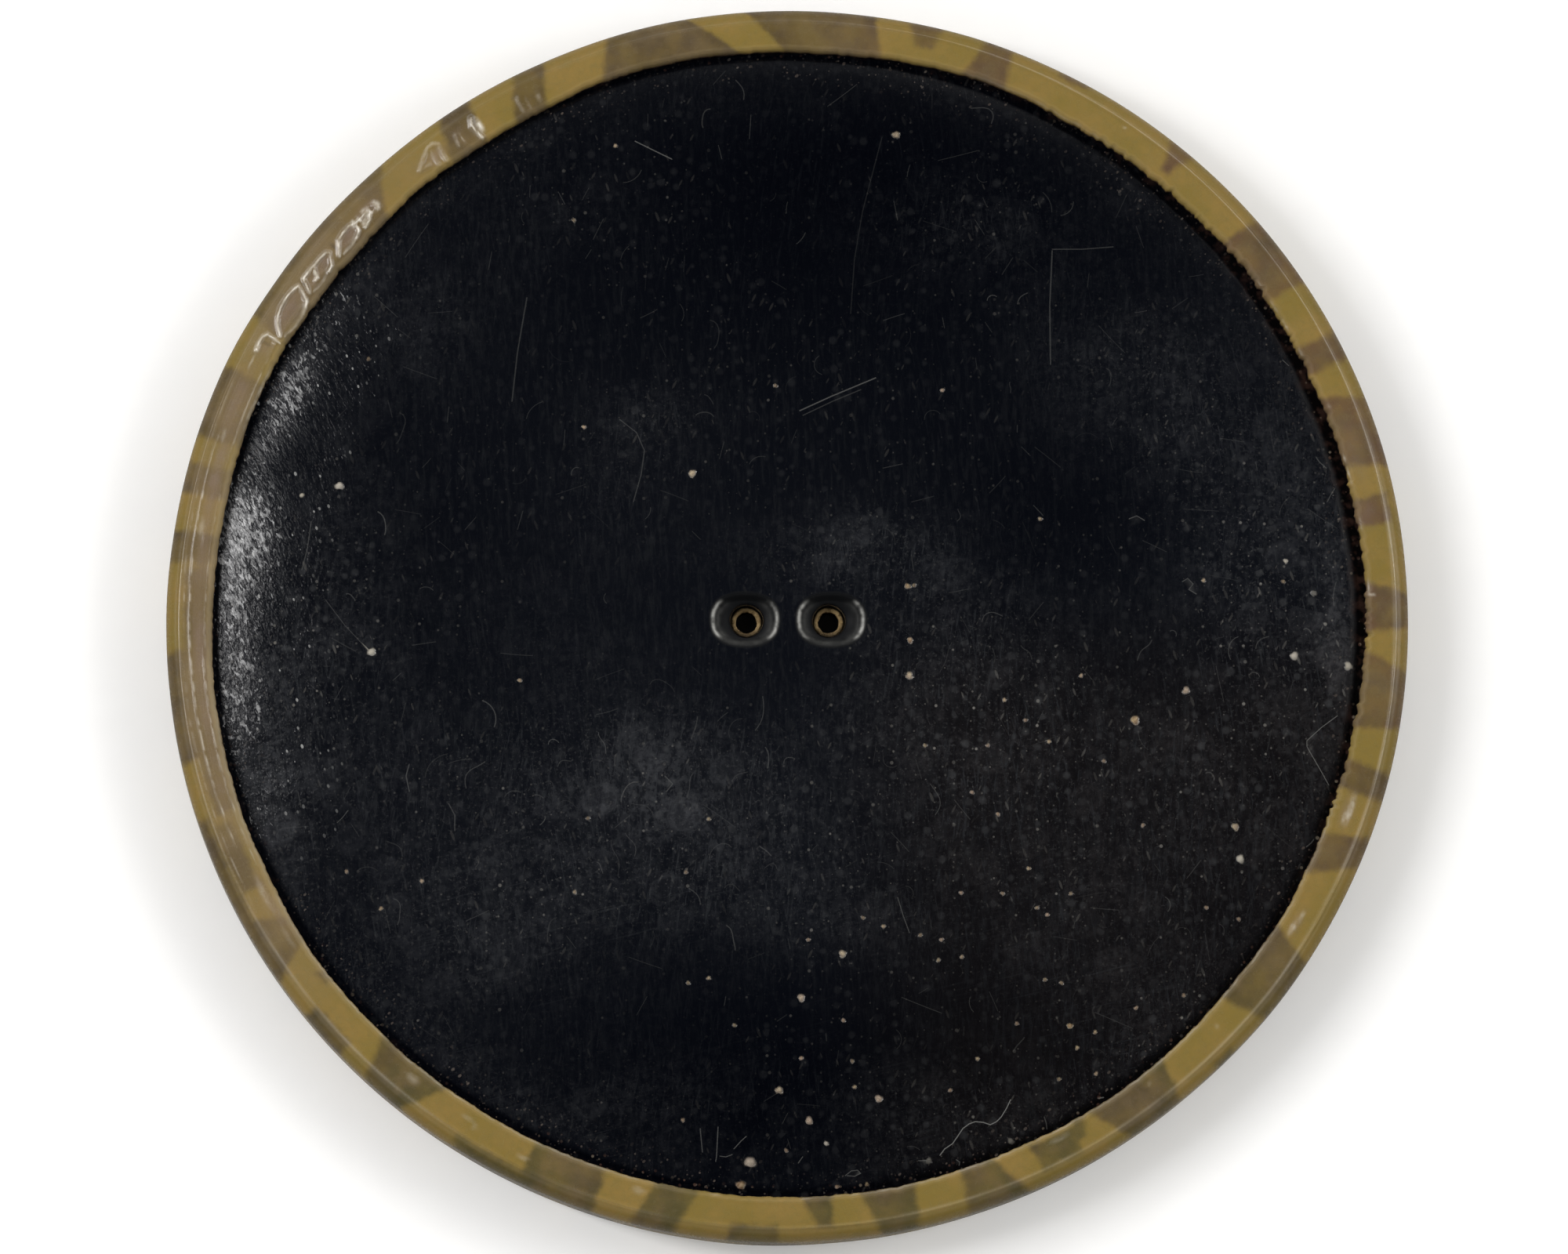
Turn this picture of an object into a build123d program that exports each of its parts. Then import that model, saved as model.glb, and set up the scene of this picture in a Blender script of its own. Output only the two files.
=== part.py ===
from build123d import *
import os

# Two-hole sew-through coat button, 100 ligne size.
# A mottled sheet shell covers the back and the side, and its edge is rolled
# over a domed black face disc. A fibre core disc fills the space between them.
# Origin at the centre of the back face, +Z out of the domed face, and the
# line through the two thread holes along X. Millimetres.

# ---- overall ----------------------------------------------------------------
ligne = 25.4 / 40
button_d = 100 * ligne
overall_h = 4.6  # back face to the top of the dome
outer_r = button_d / 2

# ---- rolled shell -----------------------------------------------------------
sheet_t = 0.7  # sheet thickness at the back and the side wall
back_corner_r = 1.3  # outside bend between back and side wall
back_inner_r = back_corner_r - sheet_t
cavity_r = outer_r - sheet_t
lip_corner_r = 0.9  # outside bend between side wall and lip
lip_corner_z = 2.95  # height of that bend's centre
lip_bend_deg = 75.0  # how far the outside bend runs before the lip's crease
lip_under_z = 3.2  # underside of the lip, resting on the face disc
lip_top_z = 3.92  # crest, the highest line of the lip
lip_top_r = 29.85  # radius of the crest
lip_crest_fillet = 0.15
lip_inner_r = 29.46  # radius of the lip's cut edge at the face
lip_edge_h = 0.12  # upright part of the cut edge

# ---- core and face discs ----------------------------------------------------
disc_gap = 0.05  # radial gap between the discs and the shell wall
disc_r = cavity_r - disc_gap
face_bottom_z = 2.7  # joint between core and face
shoulder_r = 29.30  # where the dome ends and the flat shoulder starts
centre_flat_r = 5.0  # flat spot that holds the two wells
dome_break_r = 21.5  # inside this radius the face is almost flat
dome_break_drop = 0.16  # fall from the centre to that radius

# ---- oval finger wells around the holes -------------------------------------
well_length = 3.5  # along X
well_width = 2.7  # along Y
well_spacing = 4.4  # centre to centre
well_depth = 0.45
well_floor_z = overall_h - well_depth
well_floor_r = 0.22  # inside fillet at the floor
well_edge_r = 0.2  # outside rounding at the mouth

# ---- thread holes, through all three layers ---------------------------------
hole_d = 1.6
hole_r = hole_d / 2
hole_spacing = 4.2  # a little less than the wells' spacing
hole_mouth_chamfer = 0.12

# ---- cutting and edge selection ---------------------------------------------
cut_overrun = 0.5  # how far a cut starts or ends clear of the material
radius_tol = 0.01
floor_tol = 0.05
mouth_tol = 0.1


def pair_along_x(spacing, z=0):
    """Two points at height z, placed evenly about the button's centre."""
    return [(-spacing / 2, 0, z), (spacing / 2, 0, z)]


# ---- mottled shell: back sheet, side wall and rolled lip in one piece --------
with BuildPart() as mottled_shell:
    with BuildSketch(Plane.XZ):
        with BuildLine():
            # outside, from the centre of the back up to the crest of the lip
            back = Line((0, 0), (outer_r - back_corner_r, 0))
            bend = RadiusArc(back @ 1, (outer_r, back_corner_r), -back_corner_r)
            Line(bend @ 1, (outer_r, lip_corner_z))
            roll = CenterArc(
                (outer_r - lip_corner_r, lip_corner_z),
                lip_corner_r,
                0,
                lip_bend_deg,
            )
            top = Line(roll @ 1, (lip_top_r, lip_top_z))
            # trimmed edge of the lip, then the inside back to the centre
            cut = Line(top @ 1, (lip_inner_r, lip_under_z + lip_edge_h))
            edge = Line(cut @ 1, (lip_inner_r, lip_under_z))
            under = Line(edge @ 1, (cavity_r, lip_under_z))
            inside = Line(under @ 1, (cavity_r, back_corner_r))
            inner_bend = RadiusArc(
                inside @ 1, (cavity_r - back_inner_r, sheet_t), back_inner_r
            )
            floor = Line(inner_bend @ 1, (0, sheet_t))
            Line(floor @ 1, back @ 0)
        make_face()
    revolve(axis=Axis.Z)
    # soften the crest, where the top of the lip meets the trimmed edge
    crest_edges = mottled_shell.edges().filter_by(GeomType.CIRCLE).filter_by(
        lambda e: abs(e.radius - lip_top_r) < radius_tol
    )
    fillet(crest_edges, lip_crest_fillet)
    # thread holes
    with BuildSketch(Plane.XY.offset(-cut_overrun)):
        with Locations(*pair_along_x(hole_spacing)):
            Circle(hole_r)
    extrude(amount=sheet_t + 2 * cut_overrun, mode=Mode.SUBTRACT)


# ---- core disc: fibre filler between the back sheet and the face -------------
with BuildPart() as core_disc:
    with BuildSketch(Plane.XY.offset(sheet_t)):
        Circle(disc_r)
    extrude(amount=face_bottom_z - sheet_t)
    # the lower edge clears the shell's inside bend
    fillet(core_disc.edges().group_by(Axis.Z)[0], back_inner_r)
    with Locations(*pair_along_x(hole_spacing, face_bottom_z)):
        Hole(hole_r)


# ---- black face disc: domed, with a shoulder under the lip and two wells -----
with BuildPart() as black_face:
    with BuildSketch(Plane.XZ):
        with BuildLine():
            base = Line((0, face_bottom_z), (disc_r, face_bottom_z))
            side = Line(base @ 1, (disc_r, lip_under_z))
            shoulder = Line(side @ 1, (shoulder_r, lip_under_z))
            flat = Line((0, overall_h), (centre_flat_r, overall_h))
            crown = TangentArc(
                flat @ 1,
                (dome_break_r, overall_h - dome_break_drop),
                tangent=(1, 0),
            )
            TangentArc(crown @ 1, shoulder @ 1, tangent=crown % 1)
            Line(flat @ 0, base @ 0)
        make_face()
    revolve(axis=Axis.Z)
    # the two oval wells, with rounded floors and mouths
    with BuildSketch(Plane.XY.offset(overall_h + cut_overrun)):
        with Locations(*pair_along_x(well_spacing)):
            Ellipse(well_length / 2, well_width / 2)
    extrude(amount=-(well_depth + cut_overrun), mode=Mode.SUBTRACT)
    # only the wells' edges lie wholly within the centre flat at this height
    well_edges = black_face.edges().filter_by(
        lambda e: e.bounding_box().max.X < centre_flat_r
        and e.bounding_box().min.X > -centre_flat_r
        and e.bounding_box().min.Z > well_floor_z - floor_tol
    )
    floor_edges = well_edges.filter_by(
        lambda e: e.bounding_box().max.Z < well_floor_z + floor_tol
    )
    mouth_edges = well_edges.filter_by(
        lambda e: e.bounding_box().max.Z > overall_h - mouth_tol
        and e.bounding_box().size.Z < mouth_tol
    )
    fillet(floor_edges, well_floor_r)
    fillet(mouth_edges, well_edge_r)
    # thread holes, with a small countersink in each well's floor
    with Locations(*pair_along_x(hole_spacing, well_floor_z)):
        CounterSinkHole(
            hole_r, hole_r + hole_mouth_chamfer, counter_sink_angle=90
        )


# ---- one STEP file for each piece -------------------------------------------
os.makedirs("parts", exist_ok=True)
pieces = {
    "mottled_shell": mottled_shell.part,
    "core_disc": core_disc.part,
    "black_face": black_face.part,
}
for name, piece in pieces.items():
    piece.label = name
    export_step(piece, f"parts/{name}.step")
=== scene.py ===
# A very large two-hole coat button: a domed black face disc held by the rolled
# lip of a mottled sheet shell, over a tan fibre core. It lies on its back on
# z = 0, centred on the Z axis, with its face to +Z and its two holes along X.
# "Left" and "right" are -X and +X; degrees run round the button from +X to +Y.
# Mesh work is in millimetres and is scaled to metres when a mesh is made.

import math

import bpy
import numpy as np
from mathutils import Matrix, Vector
from mathutils.geometry import delaunay_2d_cdt
from numpy import clip, cos, exp, hypot, maximum, minimum, sin, where

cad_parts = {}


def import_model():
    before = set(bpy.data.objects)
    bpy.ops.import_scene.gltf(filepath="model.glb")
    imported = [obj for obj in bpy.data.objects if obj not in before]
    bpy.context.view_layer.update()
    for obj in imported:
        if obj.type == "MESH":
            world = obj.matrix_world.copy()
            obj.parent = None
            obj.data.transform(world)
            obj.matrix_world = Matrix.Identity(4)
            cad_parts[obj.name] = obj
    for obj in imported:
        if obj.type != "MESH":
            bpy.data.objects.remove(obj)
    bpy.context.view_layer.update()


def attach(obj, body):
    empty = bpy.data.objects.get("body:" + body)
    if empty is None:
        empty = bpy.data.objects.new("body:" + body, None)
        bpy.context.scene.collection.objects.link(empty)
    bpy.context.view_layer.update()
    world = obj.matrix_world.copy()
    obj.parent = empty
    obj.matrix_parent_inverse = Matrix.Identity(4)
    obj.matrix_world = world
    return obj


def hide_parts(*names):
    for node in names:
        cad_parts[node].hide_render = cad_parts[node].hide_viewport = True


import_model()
MM = 0.001
TAU = 2.0 * math.pi
DEG = math.radians(1)

# ---------------------------------------------------------------- dimensions
OUTER_R = 31.75
SHEET_T = 0.7
CAVITY_R = OUTER_R - SHEET_T
DISC_R = CAVITY_R - 0.05     # the disc and the core sit in the cavity with a small gap
BACK_BEND_R = 1.3
LIP_R = 29.46                # cut edge of the lip
LIP_SPAN = OUTER_R - LIP_R
LIP_UNDER_Z = 3.2
LIP_TOP_R, LIP_TOP_Z = 29.85, 3.92
CORNER_R, CORNER_Z = 0.9, 2.95
CORNER_DEG = 75.0
CREASE_R = OUTER_R - CORNER_R + CORNER_R * math.cos(math.radians(CORNER_DEG))
CREASE_Z = CORNER_Z + CORNER_R * math.sin(math.radians(CORNER_DEG))
TOP_Z = 4.6
FACE_BOTTOM_Z = 2.7
SHOULDER_R = 29.30           # the dome ends here, on a flat shoulder under the lip
FLAT_R = 5.0
BREAK_R, BREAK_DROP = 21.5, 0.16   # where the dome steepens, and its fall up to there
HOLE_X = 2.1
HOLE_R = 0.8
MOUTH_R = 0.915              # the holes where they meet the floor of the wells
BACK_HOLE_R = 0.84           # the holes where they meet the sheet's two flat sides
FLOOR_R = CAVITY_R - 0.6     # flat floor of the cavity
CORE_GAP = 0.004             # keeps the core's flat sides off its neighbours
# the oval wells round the holes: centre, half length, half width, roundness
WELL_X, WELL_A, WELL_B, WELL_POWER = 2.2, 1.72, 1.34, 2.35


# ---------------------------------------------------------------- fields
def smooth(a, b, x):
    """Eases from 0 at a to 1 at b; a may be the larger."""
    t = clip((np.asarray(x, float) - a) / (b - a), 0.0, 1.0)
    return t * t * (3.0 - 2.0 * t)


def span(x, a, b, c, d):
    """Rises from a to b and falls from c to d."""
    return smooth(a, b, x) * smooth(d, c, x)


def blob(x, y, cx, cy, wx, wy):
    """A soft hill, 1 at (cx, cy)."""
    return exp(-(((x - cx) / wx) ** 2 + ((y - cy) / wy) ** 2))


def turn_from(deg, centre):
    """Degrees past the centre, in -180..180."""
    return (deg - centre + 180) % 360 - 180


def lattice(ix, iy, seed):
    """A fixed random number in 0..1 for every whole-number point."""
    h = (ix * 374761393 + iy * 668265263 + seed * 2147483647) & 0xFFFFFFFF
    h = ((h ^ (h >> 13)) * 1274126177) & 0xFFFFFFFF
    h = h ^ (h >> 16)
    return (h & 0xFFFFFF) / float(0xFFFFFF)


def value_noise(x, y, seed):
    """Smooth value noise in 0..1, for arrays."""
    x, y = np.broadcast_arrays(np.asarray(x, float), np.asarray(y, float))
    ix = np.floor(x).astype(np.int64)
    iy = np.floor(y).astype(np.int64)
    fx = x - ix
    fy = y - iy
    fx = fx * fx * fx * (fx * (fx * 6 - 15) + 10)
    fy = fy * fy * fy * (fy * (fy * 6 - 15) + 10)
    low = lattice(ix, iy, seed) * (1 - fx) + lattice(ix + 1, iy, seed) * fx
    high = lattice(ix, iy + 1, seed) * (1 - fx) + lattice(ix + 1, iy + 1, seed) * fx
    return low * (1 - fy) + high * fy


def noise(x, y, seed, octaves=3):
    """Fractal value noise, about -1..1."""
    total = 0.0
    amp = 1.0
    norm = 0.0
    for k in range(octaves):
        total = total + amp * (value_noise(x * 2 ** k, y * 2 ** k, seed + 17 * k) - 0.5)
        norm += amp
        amp *= 0.5
    return 2.0 * total / norm


def ring_noise(theta, radius, scale, seed, octaves=3):
    """Noise that closes on itself round a ring; theta in radians, scale in mm."""
    return noise(
        100.0 + radius * cos(theta) / scale, 100.0 + radius * sin(theta) / scale, seed, octaves
    )


def line_distance(x, y, points):
    """Distance to an open line through the points."""
    best = np.full(np.shape(x), 1e9)
    for (ax, ay), (bx, by) in zip(points[:-1], points[1:]):
        dx, dy = bx - ax, by - ay
        t = clip(((x - ax) * dx + (y - ay) * dy) / (dx * dx + dy * dy + 1e-12), 0, 1)
        best = minimum(best, hypot(x - ax - t * dx, y - ay - t * dy))
    return best


def in_box(x, y, points, margin):
    """Whether each x, y lies in the box round the points, widened by the margin."""
    low = np.min(points, axis=0) - margin
    high = np.max(points, axis=0) + margin
    return (x > low[0]) & (x < high[0]) & (y > low[1]) & (y < high[1])


# ---------------------------------------------------------------- mesh tools
def around(count):
    return np.arange(count) / count * TAU


def circle(radius, angles, cx=0.0):
    return np.stack([cx + radius * cos(angles), radius * sin(angles)], 1)


def lift(xy, z):
    return np.column_stack([xy, np.zeros(len(xy)) + z])


def bands(rings, flip=False):
    """Quads between each closed ring of vertices and the next."""
    quads = []
    for a, b in zip(rings[:-1], rings[1:]):
        quads.append(np.stack([a, np.roll(a, -1), np.roll(b, -1), b], axis=1))
    quads = np.concatenate(quads)
    return quads[:, ::-1] if flip else quads


def hex_grid(radius, step, jitter, seed):
    rng = np.random.default_rng(seed)
    n = int(radius / step) + 2
    j, i = np.meshgrid(np.arange(-n, n + 1), np.arange(-n, n + 1))
    x = (i + 0.5 * (j % 2)) * step
    y = j * step * math.sqrt(3) / 2
    p = np.stack([x.ravel(), y.ravel()], 1)
    p = p + rng.uniform(-jitter, jitter, p.shape) * step
    return p[hypot(p[:, 0], p[:, 1]) < radius]


def open_grid(radius, step, seed, half_x, half_y):
    """A hexagonal grid with a rectangle left free round the holes."""
    grid = hex_grid(radius, step, 0.0, seed)
    return grid[(np.abs(grid[:, 0]) > half_x) | (np.abs(grid[:, 1]) > half_y)]


class Plan:
    """Points in the XY plane, with the edges to keep when they are triangulated."""

    def __init__(self):
        self.points = np.zeros((0, 2))
        self.edges = []

    def add(self, points, loop=False, line=False):
        ids = np.arange(len(self.points), len(self.points) + len(points))
        self.points = np.concatenate([self.points, points])
        if loop:
            self.edges += zip(ids.tolist(), np.roll(ids, -1).tolist())
        if line:
            self.edges += zip(ids[:-1].tolist(), ids[1:].tolist())
        return ids

    def triangulate(self, bore=0.0):
        """Returns the points, the triangles outside two bores of this radius,
        and the index that each given point now has."""
        vectors = [Vector(p) for p in self.points.tolist()]
        result = delaunay_2d_cdt(vectors, self.edges, [], 0, 1e-5, True)
        xy = np.array([[v.x, v.y] for v in result[0]], float)
        tri = np.array([list(f) for f in result[2] if len(f) == 3], np.int64)
        index_of = np.full(len(self.points), -1)
        for i, origins in enumerate(result[3]):
            if len(origins):
                index_of[origins[0]] = i
        # make every triangle counter-clockwise
        p = xy[tri]
        area = (p[:, 1, 0] - p[:, 0, 0]) * (p[:, 2, 1] - p[:, 0, 1]) - (
            p[:, 2, 0] - p[:, 0, 0]
        ) * (p[:, 1, 1] - p[:, 0, 1])
        tri[area < 0] = tri[area < 0][:, ::-1]
        tri = tri[np.abs(area) > 1e-12]
        centre = xy[tri].mean(axis=1)
        keep = np.ones(len(tri), bool)
        for side in (-1, 1):
            keep &= hypot(centre[:, 0] - side * HOLE_X, centre[:, 1]) > bore * 0.999
        return xy, tri[keep], index_of


def vertex_normals(points, faces):
    """Smooth normals of one group of faces."""
    p = points[faces]
    face_n = np.cross(p[:, 1] - p[:, 0], p[:, 2] - p[:, 0])
    if faces.shape[1] == 4:
        face_n = face_n + np.cross(p[:, 2] - p[:, 0], p[:, 3] - p[:, 0])
    total = np.zeros((len(points), 3))
    for corner in range(faces.shape[1]):
        np.add.at(total, faces[:, corner], face_n)
    return total / (np.linalg.norm(total, axis=1, keepdims=True) + 1e-20)


class Build:
    """Collects vertices and groups of triangles and quads, then makes a mesh."""

    def __init__(self):
        self.parts = []
        self.count = 0
        self.faces = {3: [], 4: []}

    def add(self, points):
        self.parts.append(points)
        self.count += len(points)
        return np.arange(self.count - len(points), self.count)

    def add_flat(self, xy, z, known_at, known_ids):
        """Adds flat points at height z, except where vertices are already known."""
        ids = np.full(len(xy), -1)
        ids[known_at] = known_ids
        fresh = ids < 0
        ids[fresh] = self.add(lift(xy[fresh], z))
        return ids

    def points(self):
        return np.concatenate(self.parts)

    def add_faces(self, faces, normals=None):
        """Normals: one per vertex or one for all; smooth ones if none are given."""
        self.faces[faces.shape[1]].append((faces, normals))

    def make(self, name, attributes, material):
        points = self.points()
        loops, starts, normals = [], [], []
        offset = 0
        for size, groups in self.faces.items():
            for faces, given in groups:
                loops.append(faces.ravel())
                starts.append(offset + np.arange(len(faces)) * size)
                offset += faces.size
                if given is None:
                    given = vertex_normals(points, faces)
                normals.append(np.broadcast_to(given, points.shape)[faces].reshape(-1, 3))
        loops, starts = np.concatenate(loops), np.concatenate(starts)
        me = bpy.data.meshes.new(name)
        me.vertices.add(len(points))
        me.vertices.foreach_set("co", (points * MM).astype(np.float32).ravel())
        me.loops.add(len(loops))
        me.loops.foreach_set("vertex_index", loops.astype(np.int32))
        me.polygons.add(len(starts))
        me.polygons.foreach_set("loop_start", starts.astype(np.int32))
        me.polygons.foreach_set("use_smooth", np.ones(len(starts), bool))
        me.update(calc_edges=True)
        for key, values in attributes.items():
            values = np.asarray(values, np.float32)
            if values.ndim == 1:
                me.attributes.new(key, "FLOAT", "POINT").data.foreach_set("value", values)
            else:
                layer = me.attributes.new(key, "FLOAT_VECTOR", "POINT")
                layer.data.foreach_set("vector", values.ravel())
        normals = np.concatenate(normals)
        normals = normals / (np.linalg.norm(normals, axis=1, keepdims=True) + 1e-20)
        me.validate(clean_customdata=False)
        me.normals_split_custom_set(normals.astype(np.float32))
        me.materials.append(material)
        return link(name, me)


def link(name, data):
    ob = bpy.data.objects.new(name, data)
    bpy.context.scene.collection.objects.link(ob)
    return ob


# ================================================================ black face
# small round pits: x, y, kind
SPECKS = [
    (5.56, 25.11, "B"), (-8.83, 24.51, "n"), (-10.96, 20.6, "n"), (-21.45, 13.43, "n"),
    (-0.64, 12.05, "n"), (-10.43, 9.89, "n"), (-4.89, 7.51, "B"), (7.9, 11.84, "n"),
    (12.9, 5.22, "n"), (-22.92, 6.86, "W"), (-24.84, 6.4, "w"), (-21.25, -1.7, "W"),
    (-13.69, -3.15, "n"), (6.24, -1.05, "p"), (6.2, -2.87, "B"), (6.12, 1.73, "p"),
    (6.45, 1.78, "n"), (25.48, 3.14, "w"), (25.35, 2.08, "n"), (26.93, 1.51, "d"),
    (25.9, -1.74, "W"), (28.7, -2.18, "W"), (20.34, -3.58, "B"), (17.73, -5.12, "P"),
    (14.97, -2.84, "n"), (11.05, -4.1, "n"), (12.13, -5.14, "n"), (13.33, -6.23, "n"),
    (7, -6.45, "n"), (10.2, -6.44, "n"), (16.13, -7.22, "n"), (9.4, -8.85, "n"),
    (10.72, -9.97, "n"), (-10.2, -10.22, "n"), (-4.04, -10.25, "n"), (-5.2, -12.98, "n"),
    (-22.5, -12.92, "n"), (-10.87, -14, "n"), (-18.66, -13.44, "n"), (-20.74, -14.82, "n"),
    (18.12, -10.51, "n"), (22.86, -10.55, "B"), (23.11, -12.18, "W"), (12.28, -12.74, "n"),
    (8.83, -14, "n"), (10.95, -14.03, "n"), (14.43, -14.02, "n"), (12.71, -14.75, "n"),
    (13.23, -15.11, "n"), (21.37, -14.68, "n"), (23.03, -15.24, "n"), (4.87, -15.73, "n"),
    (3.83, -15.29, "n"), (6.75, -16.17, "n"), (7.83, -16.4, "n"), (1.04, -16.42, "n"),
    (2.79, -17.14, "B"), (7.67, -17.45, "n"), (8.87, -17.28, "n"), (-4.04, -18.39, "n"),
    (-5.08, -18.64, "n"), (0.68, -19.39, "B"), (13.11, -18.43, "n"), (13.95, -18.59, "n"),
    (2.83, -20.54, "n"), (-2.72, -20.8, "n"), (11.67, -20.67, "n"), (14.39, -20.77, "p"),
    (15.68, -21.07, "n"), (14.76, -21.87, "n"), (0.68, -22.47, "n"), (3.28, -22.62, "n"),
    (17.77, -19.82, "n"), (20.22, -19.14, "n"), (9.67, -22.47, "n"), (-0.44, -24.1, "B"),
    (3.4, -23.93, "n"), (4.64, -24.52, "B"), (8.28, -24.07, "n"), (13.84, -23.46, "n"),
    (15.73, -23.16, "n"), (1.09, -25.64, "B"), (-5.34, -25.61, "n"), (-1.9, -27.73, "X"),
    (-2.37, -28.87, "P"), (-0.07, -27.14, "n"), (1.97, -26.78, "w"), (21.25, 2.09, "n"),
    (4.05, -28.82, "n"), (7.20, -27.63, "d"), (11.40, -26.61, "d"), (2.53, -28.94, "n"),
]
# kind: radius, depth, warmth of the colour
SPECK_KIND = {
    "B": (0.20, 0.05, 0.75), "n": (0.115, 0.035, 0.9), "W": (0.22, 0.03, 0.25),
    "w": (0.13, 0.03, 0.3), "P": (0.24, 0.05, 1.0), "p": (0.16, 0.04, 1.0),
    "X": (0.29, 0.06, 0.55), "d": (0.17, 0.01, 0.15),
}
# hair lines and scratches: strength, half width, points
LINES = [
    (0.478, 0.035, [(7.77, -27.34), (8.01, -27.02), (8.41, -26.75), (8.69, -26.35),
                    (8.92, -26), (9.24, -25.76), (9.56, -25.64), (9.96, -25.67),
                    (10.33, -25.79), (10.65, -25.63), (10.89, -25.39), (11.16, -24.95),
                    (11.36, -24.52)]),
    (0.274, 0.03, [(28.13, -4.74), (27.31, -5.36), (26.54, -6.07), (26.54, -6.35),
                   (26.66, -6.58), (27.23, -7.53), (27.68, -8.31)]),
    (0.205, 0.045, [(0.6, 10.76), (2.2, 11.5), (4.49, 12.47)]),
    (0.081, 0.04, [(0.76, 10.52), (2.28, 11.25), (3.73, 11.86)]),
    (0.238, 0.04, [(-7.83, 24.75), (-6.94, 24.29), (-5.94, 23.79)]),
    (0.081, 0.05, [(-13.36, 16.57), (-13.84, 13.73), (-14.11, 11.22)]),
    (0.1, 0.05, [(13.54, 19.09), (13.41, 16.24), (13.44, 13.2)]),
    (0.09, 0.04, [(13.54, 19.17), (15.07, 19.19), (16.68, 19.34)]),
    (0.033, 0.04, [(4.83, 24.98), (3.82, 21.07), (3.41, 18.63), (3.21, 15.79)]),
    (0.116, 0.04, [(-24.35, 5.05), (-24.55, 3.64), (-24.83, 2.55)]),
    (0.09, 0.035, [(-23.62, 1), (-22.62, -0.33), (-21.41, -1.62)]),
    (0.1, 0.04, [(-8.62, 10.3), (-7.74, 9.61), (-7.34, 8.68), (-7.5, 7.47), (-7.9, 6.05)]),
    (0.143, 0.04, [(-19.32, -7.46), (-19.48, -8.06), (-19.31, -8.86)]),
    (0.116, 0.04, [(-17.31, -9.47), (-16.99, -10.07), (-16.99, -10.87)]),
    (0.143, 0.04, [(-6.28, -8.05), (-5.88, -8.45), (-6.2, -8.85)]),
    (0.173, 0.035, [(17.44, 5.24), (17.84, 5.4), (18.24, 5.16)]),
    (0.173, 0.035, [(20.16, 2.02), (20.44, 2.19), (20.72, 1.9), (20.48, 1.62), (20.88, 1.38)]),
    (0.143, 0.035, [(5.59, -14.24), (5.87, -15.17), (6.19, -16.05)]),
    (0.173, 0.035, [(-4.46, -26.04), (-4.34, -27.22)]),
    (0.205, 0.035, [(-3.55, -25.96), (-3.62, -27.42), (-3.66, -27.69)]),
    (0.205, 0.03, [(-3.46, -27.42), (-3.14, -27.46), (-2.82, -27.34)]),
    (0.238, 0.03, [(-2.74, -27.06), (-2.38, -26.67), (-2.11, -26.43)]),
    (0.205, 0.03, [(2.94, -28.39), (3.25, -28.15), (3.57, -28.11), (3.74, -28.27),
                   (3.42, -28.42), (3.02, -28.39)]),
    (0.205, 0.03, [(0.54, -27.77), (0.77, -27.45)]),
    (0.143, 0.03, [(-22.99, -10.44), (-22.71, -10.17), (-22.43, -9.81)]),
    (0.09, 0.03, [(-24.99, -8.82), (-24.83, -9.62)]),
    (0.2, 0.04, [(8.75, -27.84), (8.78, -27.67), (8.61, -27.56)]),
    (0.16, 0.04, [(6.68, -27.62), (7.04, -27.62), (7.37, -27.69)]),
    (0.13, 0.04, [(13.23, -25.97), (13.19, -25.66), (13.09, -25.37)]),
    (0.36, 0.05, [(15.84, -24.39), (16.12, -24.35)]),
    (0.2, 0.04, [(26.52, -11.48), (26.78, -11.26), (26.90, -11.09)]),
    (0.14, 0.035, [(27.61, 8.02), (27.25, 8.33), (27.07, 8.59)]),
    (0.15, 0.035, [(25.70, 13.32), (25.38, 13.61)]),
    (0.13, 0.035, [(28.04, 6.99), (27.82, 6.63), (27.65, 6.28)]),
]
# smudges and haze on the face: x, y, radius x, radius y, amount
HAZE = [
    (-8, -8.5, 5.5, 4, 0.8), (-3.5, -9.5, 3.5, 3, 0.55), (-6, -13, 7, 3.5, 0.42),
    (-16, -7.5, 5, 3, 0.2), (-22, -8, 4.5, 6, 0.2), (-26.6, -8.5, 2.6, 6, 0.76),
    (-27, 14.5, 2.4, 4, 0.5), (-17, -15.5, 6, 5, 0.46), (4.8, 3.6, 3.5, 2.2, 0.5),
    (0, 3.2, 4.5, 1.8, 0.25), (8, -1, 5, 4, 0.34), (7, -7, 7, 5, 0.34), (14, -5, 6, 5, 0.28),
    (24.5, 1, 3.6, 7.5, 0.62), (28.1, 0.2, 1.15, 3.6, 1.05), (22, -9, 5, 5, 0.32),
    (14, -14, 8, 5, 0.3), (2, -15, 5, 3, 0.22), (17, 13, 4.5, 4, 0.3), (21.5, 9.5, 4, 5, 0.3),
    (10, 20.5, 6, 3, 0.22), (-7, 10.5, 3, 2, 0.32), (-9, 7, 3.5, 3, 0.22),
    (-19.5, 15, 4.5, 4, 0.26), (-12, 22, 5, 3.5, 0.16), (0, 26.5, 9, 1.6, 0.1),
    (-24, 2, 4, 8, 0.4), (8, -25, 7, 2.5, 0.26), (-8, -24.5, 6, 2.5, 0.22),
    (18, -20, 5, 4, 0.22), (-13, -1, 6, 4, 0.16),
]
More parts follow.
